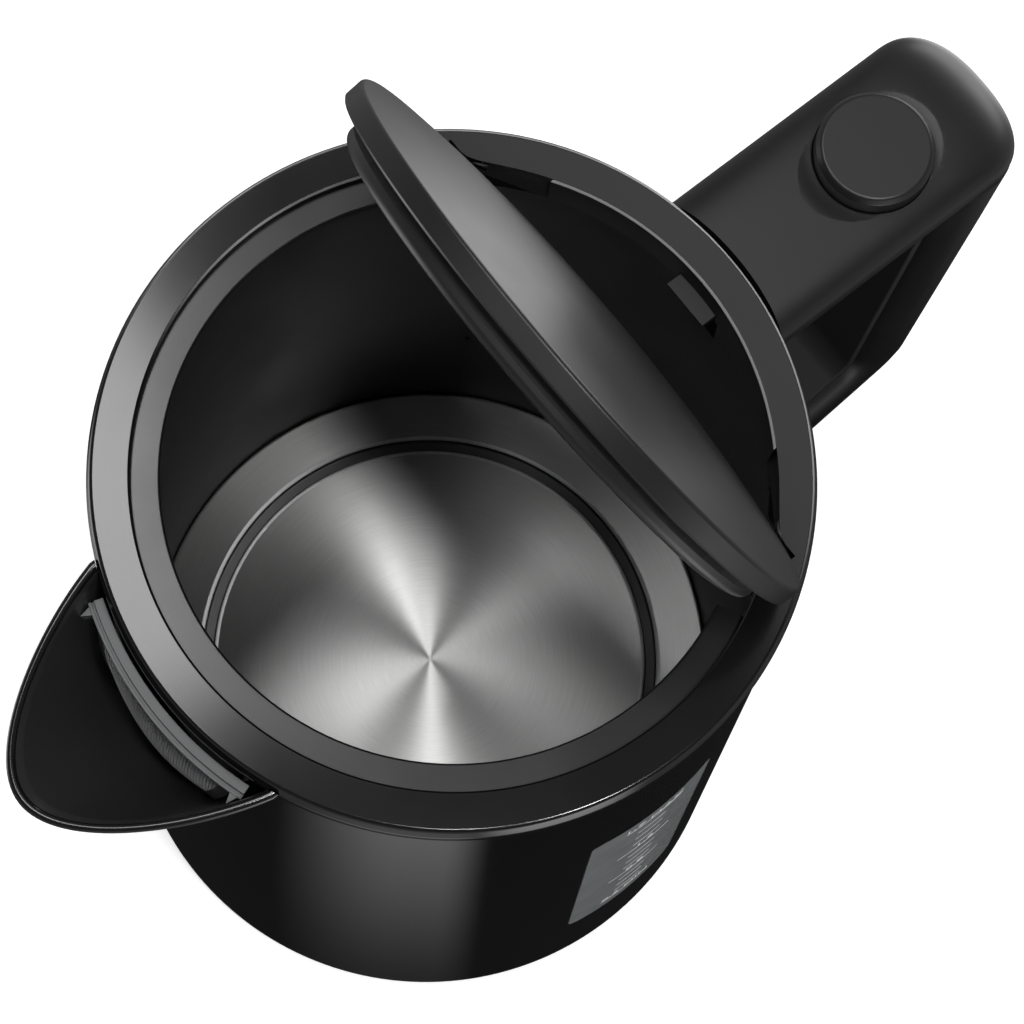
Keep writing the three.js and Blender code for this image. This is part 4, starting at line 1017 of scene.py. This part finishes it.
class KETTLE_OT_plate(bpy.types.Operator):
    """Make the spun steel heater plate with its pressed groove"""

    bl_idname = "kettle.plate"
    bl_label = "Heater plate"

    def execute(self, context):
        sizes = context.scene.kettle_sizes
        top = -sizes.plate_depth
        sheet = 1.3 * MM
        edge = cone_radius(top) - 2 * sizes.wall - sizes.wall_gap - sizes.gap
        half_groove, deep, fold = 1.475 * MM, 1.5 * MM, 0.8 * MM
        near, far = sizes.groove_radius - half_groove, sizes.groove_radius + half_groove
        skirt = top - 7.3 * MM
        plate = lathe("heater_plate", rounded([
            (0, top - sheet),
            (near - fold, top - sheet, 0.5 * MM),
            (near - 0.2 * MM, top - sheet - deep, 0.5 * MM),
            (far + 0.2 * MM, top - sheet - deep, 0.5 * MM),
            (far + fold, top - sheet, 0.5 * MM),
            (edge - sheet, top - sheet, 0.3 * MM),
            (edge - sheet, skirt),
            (edge, skirt),
            (edge, top, 0.8 * MM),
            (far + fold, top),
            (far, top, 0.45 * MM),
            (far - 0.3 * MM, top - deep, 0.3 * MM),
            (near + 0.3 * MM, top - deep, 0.3 * MM),
            (near, top, 0.45 * MM),
            (near - fold, top),
            (0, top),
        ], 5), 256)
        finish(plate, "steel", "steel", "base_plate")

        def zone(away, height, normal):
            """1 for the groove's folded edges, with a painted highlight, 2 for its floor, with painted
            shade.
            """
            if height < top - 3 * MM or not near - fold < away < far + fold:
                return 0
            return 2 if height < top - 0.7 * MM else 1

        # painted highlight on the groove's folds, painted shade on its floor
        dress(plate, zone, "edge", "groove")
        return {"FINISHED"}


class KETTLE_OT_base(bpy.types.Operator):
    """Make the bottom cover, the cordless socket, the feet and the screws"""

    bl_idname = "kettle.base"
    bl_label = "Base"

    def execute(self, context):
        for start, width, skin, slot in (
            ("base_cover", 0.3, "matt", "matt_black"), ("connector_socket", 0.3, "satin", "matt_black"),
            ("base_screw_", 0.15, "wire", "spring_steel"), ("foot_", 0.4, "rubber", "rubber"),
            ("handle_screw_", 0.15, "wire", "spring_steel"),
        ):
            for node in sorted(frame["nodes"]):
                if node.startswith(start):
                    refine(node, width * MM, skin, slot)
        return {"FINISHED"}


# ------------------------------------------------------------------ lid


class KETTLE_OT_lid(bpy.types.Operator):
    """Make the lid's domed cap and its plug, opened at the hinge"""

    bl_idname = "kettle.lid"
    bl_label = "Lid"

    def execute(self, context):
        sizes = context.scene.kettle_sizes
        lid = context.scene.lid_sizes
        inner = sizes.rim_radius - sizes.rim_width
        cap_radius = inner - lid.clearance
        plug_radius = inner - lid.ledge_width - 0.34 * MM
        band_low = -lid.ledge_drop + sizes.gap
        band_top = band_low + lid.band
        self.cap(sizes, lid, cap_radius, plug_radius, band_low, band_top)
        self.plug(lid, plug_radius, band_low)
        return {"FINISHED"}

    def dome(self, shoulder, top, rise, steps=28):
        """The crowned top, from its shoulder to the middle."""
        points = []
        for k in range(steps + 1):
            share = math.cos(math.pi / 2 * k / steps)
            points.append((shoulder * share, top + rise * (1 - share ** 2.4)))
        return points

    def cap(self, sizes, lid, radius, plug_radius, band_low, band_top):
        """The domed cap, with a notch for the latch and pockets for the hinge pins."""
        lean = math.atan(2.4 * lid.dome / radius)
        edge = []
        for k in range(8):
            angle = (math.pi / 2 - lean) * k / 8
            edge.append((radius - lid.fillet * (1 - math.cos(angle)),
                         band_top - lid.fillet + lid.fillet * math.sin(angle)))
        shoulder = radius - lid.fillet * (1 - math.sin(lean))
        foot = band_top - lid.fillet * (1 - math.cos(lean))
        outside = self.dome(shoulder, foot, band_top + lid.dome - foot)
        inside, thick, chamfer = plug_radius - 2 * MM, 2.2 * MM, 0.4 * MM
        under = self.dome(inside - lid.fillet, band_top - thick, lid.dome, 12)
        profile = ([(radius - chamfer, band_low), (radius, band_low + chamfer)] + edge + outside
                   + under[::-1] + [(inside, band_low)])
        cap = lathe("lid_dome", profile, sizes.facets, OPENED)
        side = 5.6 * MM
        cutters = [block("notch", (LATCH_X, -side, -20 * MM), (70 * MM, side, 20 * MM), OPENED)]
        wide, start, end = 3.6 * MM, 36.5 * MM, 59.2 * MM
        pocket = [(0, start), (wide, start), (wide, end), (0, end)]
        cutters += [lathe(f"pocket_{sign}", pocket, 48, on_hinge(lid, OPENED, sign)) for sign in (1, -1)]
        carve(cap, *cutters)
        finish(cap, "satin", "satin_black", "lid_cap", body="lid", angle=38)

    def plug(self, lid, radius, band_low):
        """The cup under the cap, with its latch keeper and two hinge cheeks."""
        low = band_low - lid.plug_depth
        top = band_low - 0.3 * MM
        wall, face, floor = 3 * MM, low + 0.6 * MM, low + 2.2 * MM
        cup = lathe("lid_plug_shell", rounded([
            (0, face),
            (radius - 6 * MM, face, 2 * MM),
            (radius - 4.5 * MM, low, 1.2 * MM),
            (radius, low, 1.6 * MM),
            (radius, top, 0.3 * MM),
            (radius - wall, top, 0.3 * MM),
            (radius - wall, floor, 1 * MM),
            (0, floor),
        ]), 192, OPENED)
        side = 4.8 * MM
        joined = [block("keeper", (radius - 2 * MM, -side, low + 0.2 * MM), (LATCH_X, side, top), OPENED)]
        reach = math.sqrt(radius ** 2 - lid.hinge_x ** 2)
        cheek, half = 6.5 * MM, 3.4 * MM
        for sign in (1, -1):
            ys = sorted((sign * (reach - cheek), sign * reach))
            joined.append(block(f"cheek_{sign}", (lid.hinge_x - half, ys[0], low + 0.8 * MM),
                                (lid.hinge_x + half, ys[1], top), OPENED))
        carve(cup, *joined, operation="UNION")
        finish(cup, "satin", "satin_black", "lid_plug", body="lid", angle=38)


# ------------------------------------------------------------------ handle


class KETTLE_OT_handle(bpy.types.Operator):
    """Make the handle's crowned cover, grip, lining and spine"""

    bl_idname = "kettle.handle"
    bl_label = "Handle"

    side_round = 7 * MM  # how far down the crown's round reaches across the cover
    rear_round = 12 * MM  # and at the cover's back
    rear_sweep = 22 * MM  # how far the crown's back lies before the handle's
    swell = 28 * MM  # how far below the seam the strap reaches its full depth

    def execute(self, context):
        sizes = context.scene.kettle_sizes
        handle = context.scene.handle_sizes
        self.cover(sizes, handle)
        self.grip(sizes, handle)
        self.liner(handle)
        refine("handle_spine", 0.4 * MM, "satin", "satin_black")
        return {"FINISHED"}

    def rounded_end(self, rear, half):
        """A plan outline with square front corners and softly rounded rear ones."""
        front, roundness = 59 * MM, 11.5 * MM
        side = []
        for k in range(25):
            angle = math.pi / 2 * k / 24
            side.append((rear - roundness + roundness * math.cos(angle) ** (2 / 2.4),
                         half * math.sin(angle) ** (2 / 2.4)))
        side.append((front, half))
        return [(x, -y) for x, y in reversed(side[1:])] + side

    def plan(self, handle, depth, inset):
        """The cover's outline in plan at a depth below its crown, drawn in by an inset."""
        across = (1 - max(1 - depth / self.side_round, 0) ** 2.8) ** (1 / 2.8)
        along = (1 - max(1 - depth / self.rear_round, 0) ** 2.4) ** (1 / 2.4)
        straight = 7.5 * MM
        tuck = 0.5 * MM * max(0.0, (depth - straight) / (handle.seam - straight))
        half = max(handle.half_width * across - tuck - inset, 0.3 * MM)
        rear = handle.rear - 0.15 * MM - self.rear_sweep * (1 - along) - inset
        return self.rounded_end(rear, half)

    def cover(self, sizes, handle):
        """The crowned upper shell, open below, with a dish and a hole for the button."""
        tall = handle.seam - handle.crown
        # depths below the crown with their insets: down the outside, then up the inside
        levels = []
        for k in range(1, 25):
            part = math.sin(math.pi / 2 * k / 24)
            levels.append((self.side_round * (1 - (1 - part ** 2.8) ** (1 / 2.8)), 0.0))
        levels += [(self.side_round + (tall - self.side_round) * k / 8, 0.0) for k in range(1, 9)]
        levels += [(tall - (tall - sizes.wall) * k / 15, sizes.wall) for k in range(16)]
        outlines = []
        for depth, inset in levels:
            shaped = max(depth - inset, 0.02 * MM)
            outlines.append([(x, y, -handle.crown - depth) for x, y in self.plan(handle, shaped, inset)])
        cover = loft("handle_cover_shell", outlines)
        carve(cover, *self.dish(handle), rim_room(0.25 * MM), body_room(-7 * MM))
        soften(cover, 0.25 * MM, 2, 50)
        finish(cover, "satin", "satin_black", "handle_cover", angle=40)

    def dish(self, handle):
        """The shallow dish round the button, and the button's hole."""
        centre = (handle.button_x, 0.0)
        hole_radius = handle.button_radius + 0.25 * MM
        dish_radius = handle.dish_radius + 2.2 * MM
        high = 3 * MM
        slope = []
        for k in range(15):
            part = k / 14
            fall = 0.6 * MM * (0.5 + 0.5 * math.cos(math.pi * part))
            slope.append((hole_radius + (dish_radius - hole_radius) * part, -handle.crown - fall))
        dish = [(0, slope[0][1])] + slope + [(dish_radius, high), (0, high)]
        hole = [(0, -handle.seam), (hole_radius, -handle.seam), (hole_radius, high), (0, high)]
        return (lathe("dish", dish, 128, centre=centre), lathe("button_hole", hole, 128, centre=centre))

    def opening(self, handle, margin, front):
        """The finger opening in side view, grown by a margin."""
        rear = handle.opening_rear + margin
        top = -handle.opening_top + margin
        bottom = self.floor(handle) - margin
        return [(front, top), (rear, top, 6 * MM), (rear, bottom, 8 * MM),
                (front, bottom - self.slope(handle) * (rear - front))]

    def floor(self, handle):
        """The height of the opening's floor at its back."""
        return -handle.bottom - 6 * MM

    def slope(self, handle):
        """How steeply the opening's floor falls towards the body."""
        return handle.opening_fall / (handle.opening_rear - handle.opening_front)

    def grip(self, sizes, handle):
        """The strap at the back, which turns in to the body under the opening."""
        front, top, bottom = handle.front - 60 * MM, 6 * MM, -handle.bottom
        gap = 2.5 * MM
        rear = handle.rear
        inside = handle.opening_rear + gap
        floor = self.floor(handle) - gap
        outline = rounded([
            (inside, top),
            (rear - 2.2 * MM, top),
            (rear - 1.4 * MM, -handle.seam - 4 * MM, 30 * MM),
            (rear, -handle.seam - self.swell, 60 * MM),
            (rear, bottom - 3 * MM, 14 * MM),
            (rear - 7 * MM, bottom - 20 * MM, 12 * MM),
            (handle.front - 7 * MM, bottom - 33 * MM, 10 * MM),
            (front, bottom - 67 * MM),
            (front, floor - self.slope(handle) * (inside - front)),
            (inside, floor, 8 * MM),
        ], 10)
        grip = slab("handle_grip_shell", outline, handle.half_width, 7 * MM)
        above = block("above", (0, -40 * MM, -handle.seam - sizes.gap), (200 * MM, 40 * MM, 50 * MM))
        side = 7.8 * MM
        slot = block("lever_slot", (105 * MM, -side, -170 * MM), (121 * MM, side, -139.5 * MM))
        carve(grip, self.strap_room(handle), operation="INTERSECT")
        carve(grip, above, slot, body_room(1 * MM))
        finish(grip, "satin", "satin_black", "handle_grip", angle=40)

    def strap_room(self, handle):
        """The strap in plan: it leaves the cover flush and swells to the handle's back."""
        step_back = 0.2 * MM
        levels = [(-215 * MM, handle.rear)]
        for k in range(9):
            levels.append((-handle.seam - self.swell + 3 * k * MM,
                           handle.rear - step_back * (0.5 - 0.5 * math.cos(math.pi * k / 8))))
        levels.append((5 * MM, handle.rear - step_back))
        return loft("strap_room", [
            [(x, y, z) for x, y in self.rounded_end(rear, handle.half_width)] for z, rear in levels
        ])

    def liner(self, handle):
        """The lining of the finger opening."""
        wall, front = 2.2 * MM, 60 * MM
        outer = rounded(self.opening(handle, wall, front), 10)
        inner = rounded(self.opening(handle, 0.0, front), 10)
        liner = slab("handle_lining", outer + inner[::-1], 13.4 * MM, 0.4 * MM)
        carve(liner, body_room(1 * MM))
        finish(liner, "matt", "matt_black", "handle_liner", angle=40)


class KETTLE_OT_button(bpy.types.Operator):
    """Make the round lid release button"""

    bl_idname = "kettle.button"
    bl_label = "Release button"

    def execute(self, context):
        handle = context.scene.handle_sizes
        top, radius = handle.button_rise, handle.button_radius
        collar, collar_top, low = 12.3 * MM, -4.6 * MM, -5.4 * MM
        button = lathe("release_button_cap", rounded([
            (0, low),
            (collar, low, 0.2 * MM),
            (collar, collar_top, 0.2 * MM),
            (radius, collar_top),
            (radius, top - 1.2 * MM, 0.6 * MM),
            (radius - 0.9 * MM, top, 0.9 * MM),
            (0, top),
        ], 8), 128, centre=(handle.button_x, 0.0))
        finish(button, "satin", "satin_black", "lid_release_button", body="button", angle=40)
        return {"FINISHED"}


# ------------------------------------------------------------------ springs


class KETTLE_OT_springs(bpy.types.Operator):
    """Wind the three coil springs in the rooms of their CAD nodes"""

    bl_idname = "kettle.springs"
    bl_label = "Springs"

    def execute(self, context):
        tree, given = new_group("spring_coil", {
            "Coil radius": 3 * MM, "Length": 10 * MM, "Turns": 5.0, "Wire radius": 0.35 * MM,
        })
        path = add(tree, "GeometryNodeCurveSpiral", Resolution=28, Rotations=given["Turns"],
                   Start_Radius=given["Coil radius"], End_Radius=given["Coil radius"],
                   Height=given["Length"])
        round_wire(tree, path.outputs["Curve"], given["Wire radius"], 10, MATERIALS["wire"])
        # a coil is wound along +Z, then turned to its node's own axis
        turns_to = (Euler((0, math.pi / 2, 0)), Euler((-math.pi / 2, 0, 0)), Euler())
        for node, axis, turns, wire in (
            ("button_spring", 2, 5.0, 0.35 * MM), ("latch_spring", 0, 4.0, 0.25 * MM),
            ("lid_spring", 1, 4.0, 0.35 * MM),
        ):
            low, high = (Vector(corner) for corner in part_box(node))
            across = 1 if axis == 0 else 0
            piece = new_object(node + "_coil", bpy.data.meshes.new(node + "_coil"))
            grow(piece, tree, {
                "Coil radius": (high[across] - low[across]) / 2 - wire,
                "Length": high[axis] - low[axis] - 2 * wire, "Turns": turns, "Wire radius": wire,
            })
            start = (low + high) / 2
            start[axis] = low[axis] + wire
            piece.data.transform(Matrix.Translation(start) @ turns_to[axis].to_matrix().to_4x4())
            finish(piece, "wire", "spring_steel", node, angle=60)
            if node == "button_spring":
                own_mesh(piece)
            if node == "latch_spring":
                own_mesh(piece)
        return {"FINISHED"}


# ------------------------------------------------------------------ stage


class KETTLE_OT_stage(bpy.types.Operator):
    """Set the camera, the soft lights and the white floor"""

    bl_idname = "kettle.stage"
    bl_label = "Stage"

    def execute(self, context):
        self.camera(context)
        self.floor()
        self.world(context)
        self.lights()
        return {"FINISHED"}

    def camera(self, context):
        data = bpy.data.cameras.new("camera")
        data.lens = 105.47
        data.sensor_width = 36.0
        camera = new_object("camera", data)
        azimuth, elevation, roll = (math.radians(angle) for angle in (219.7, 76.0, 12.12))
        back = Vector((math.cos(elevation) * math.cos(azimuth), math.cos(elevation) * math.sin(azimuth),
                       math.sin(elevation)))
        level = Vector((-math.sin(azimuth), math.cos(azimuth), 0.0))
        upper = back.cross(level)
        right = level * math.cos(roll) + upper * math.sin(roll)
        turned = Matrix((right, back.cross(right), back)).transposed().to_4x4()
        stand = Vector((-115.0, -97.4, 754.4)) * MM
        camera.matrix_world = Matrix.Translation(stand) @ turned
        context.scene.camera = camera

    def seen(self, tree, rays):
        """1 where the camera looks, straight or through a clear wall."""
        return calculate(tree, "MAXIMUM", rays["Is Camera Ray"], rays["Is Transmission Ray"])

    def floor(self):
        """A wide pale floor, which glossy skins see as glowing white panels: a painted reflection."""
        reach = 6.0
        corners = [(-reach, -reach, 0), (reach, -reach, 0), (reach, reach, 0), (-reach, reach, 0)]
        floor = make_object("floor", corners, [(0, 1, 2, 3)], Matrix.Identity(4))
        material, tree = new_material("pale_floor")
        rays = add(tree, "ShaderNodeLightPath").outputs
        plain = add(tree, "ShaderNodeBsdfDiffuse", Color=linear("#F2F2F2")).outputs["BSDF"]
        glow = add(tree, "ShaderNodeEmission", Color=WHITE, Strength=0.62).outputs["Emission"]
        sheen = add(tree, "ShaderNodeEmission", Color=WHITE, Strength=self.sheen(tree)).outputs["Emission"]
        lit = add(tree, "ShaderNodeAddShader", _0=plain, _1=glow).outputs["Shader"]
        shown = add(tree, "ShaderNodeMixShader", Fac=self.seen(tree, rays), _1=plain, _2=lit)
        both = add(tree, "ShaderNodeMixShader", Fac=rays["Is Glossy Ray"], _1=shown.outputs["Shader"],
                   _2=sheen)
        add(tree, "ShaderNodeOutputMaterial", Surface=both.outputs["Shader"])
        floor.data.materials.append(material)

    def sheen(self, tree):
        """The floor as glossy skins show it, a painted reflection: glowing white further out, painted dim
        close by as a painted shadow, but for one glowing strip.
        """
        centred = add(tree, "ShaderNodeVectorMath", {"operation": "SUBTRACT"}, _0=object_place(tree),
                      _1=(AXIS_X, 0.0, 0.0)).outputs["Vector"]
        away = add(tree, "ShaderNodeVectorMath", {"operation": "LENGTH"}, _0=centred).outputs["Value"]
        split = add(tree, "ShaderNodeSeparateXYZ", Vector=centred)
        angle = calculate(tree, "ARCTAN2", split.outputs["Y"], split.outputs["X"])
        # painted reflection: three glowing panels round the kettle, a third of a turn apart
        thrice = calculate(tree, "MULTIPLY_ADD", angle, 3.0, math.radians(-45))
        facing = ramp(tree, calculate(tree, "COSINE", thrice), 0.55, 1.0, 0.3, 2.4)
        far = ramp(tree, away, 0.15, 0.36, 0.012, facing)
        # the glowing strip beside the kettle, a painted reflection on the body
        rise = ramp(tree, angle, math.radians(-172), math.radians(-136))
        fall = ramp(tree, angle, math.radians(-127), math.radians(-114), 1.0, 0.0)
        lift = ramp(tree, away, 0.07, 0.15, 0.03, 0.46)
        strip = calculate(tree, "MULTIPLY", calculate(tree, "MULTIPLY", rise, fall), lift)
        return calculate(tree, "MAXIMUM", strip, far)

    def world(self, context):
        """White where the camera looks, dim as a light."""
        world = bpy.data.worlds.new("studio")
        context.scene.world = world
        world.use_nodes = True
        tree = world.node_tree
        tree.nodes.clear()
        rays = add(tree, "ShaderNodeLightPath").outputs
        # glossy skins see a bright band along the horizon and a dim sky over it
        way = add(tree, "ShaderNodeTexCoord").outputs["Generated"]
        height = add(tree, "ShaderNodeSeparateXYZ", Vector=way).outputs["Z"]
        gloss = add(tree, "ShaderNodeMix", Factor=rays["Is Glossy Ray"], A=0.22,
                    B=ramp(tree, height, 0.02, 0.42, 0.4, 0.12)).outputs["Result"]
        level = calculate(tree, "MAXIMUM", gloss, self.seen(tree, rays))
        both = add(tree, "ShaderNodeBackground", Color=WHITE, Strength=level)
        add(tree, "ShaderNodeOutputWorld", Surface=both.outputs["Background"])

    def lights(self):
        """Three soft panels over the kettle, three strips for the plate, one panel behind the handle."""
        for name, place, across, tall, power, turn in (
            ("key_panel", (0.0, 0.39, 1.222), 0.18, 0.44, 2.6, (0, 0, 0)),
            ("broad_panel", (0.30, 0.60, 1.222), 0.36, 0.4, 0.4, (0, 0, 0)),
            ("fill_panel", (0.41, 0.14, 1.222), 0.3, 0.46, 0.45, (0, 0, 0)),
            ("plate_strip_near", (-0.06, -0.11, 1.222), 0.035, 0.1, 1.15, (0, 0, -38)),
            ("plate_strip_far", (0.0, -0.38, 1.222), 0.09, 0.2, 3.9, (0, 0, 0)),
            ("plate_strip_side", (-0.17, 0.17, 1.222), 0.08, 0.1, 0.42, (0, 0, 0)),
            ("handle_panel", (1.3, 0.3, 0.35), 0.9, 0.4, 4.5, (86, 0, 103)),
        ):
            data = bpy.data.lights.new(name, "AREA")
            data.shape = "RECTANGLE"
            data.size = across
            data.size_y = tall
            data.energy = power
            lamp = new_object(name, data)
            lamp.location = place
            lamp.rotation_euler = [math.radians(angle) for angle in turn]


# ------------------------------------------------------------------ add-on

OPERATORS = (
    KETTLE_OT_finishes, KETTLE_OT_stage, KETTLE_OT_body, KETTLE_OT_pot, KETTLE_OT_rim, KETTLE_OT_window,
    KETTLE_OT_spout, KETTLE_OT_filter, KETTLE_OT_plate, KETTLE_OT_base, KETTLE_OT_lid, KETTLE_OT_handle,
    KETTLE_OT_button, KETTLE_OT_springs,
)


class KETTLE_PT_sidebar(bpy.types.Panel):
    """The kettle's sizes, colours and making steps"""

    bl_label = "Electric Kettle"
    bl_space_type = "VIEW_3D"
    bl_region_type = "UI"
    bl_category = "Kettle"

    def draw(self, context):
        layout = self.layout
        for group in ("kettle_sizes", "lid_sizes", "handle_sizes", "kettle_colours"):
            box = layout.box()
            values = getattr(context.scene, group)
            for name in values.__annotations__:
                box.prop(values, name)
        for operator in OPERATORS:
            layout.operator(operator.bl_idname)


CLASSES = (KettleSizes, LidSizes, HandleSizes, KettleColours, *OPERATORS, KETTLE_PT_sidebar)


def register():
    for cls in CLASSES:
        bpy.utils.register_class(cls)
    bpy.types.Scene.kettle_sizes = PointerProperty(type=KettleSizes)
    bpy.types.Scene.lid_sizes = PointerProperty(type=LidSizes)
    bpy.types.Scene.handle_sizes = PointerProperty(type=HandleSizes)
    bpy.types.Scene.kettle_colours = PointerProperty(type=KettleColours)


def unregister():
    for group in ("kettle_colours", "handle_sizes", "lid_sizes", "kettle_sizes"):
        delattr(bpy.types.Scene, group)
    for cls in reversed(CLASSES):
        bpy.utils.unregister_class(cls)


def main():
    register()
    bpy.context.scene.view_settings.view_transform = "Standard"
    for operator in OPERATORS:
        group, name = operator.bl_idname.split(".")
        getattr(getattr(bpy.ops, group), name)()


if __name__ == "__main__":
    main()
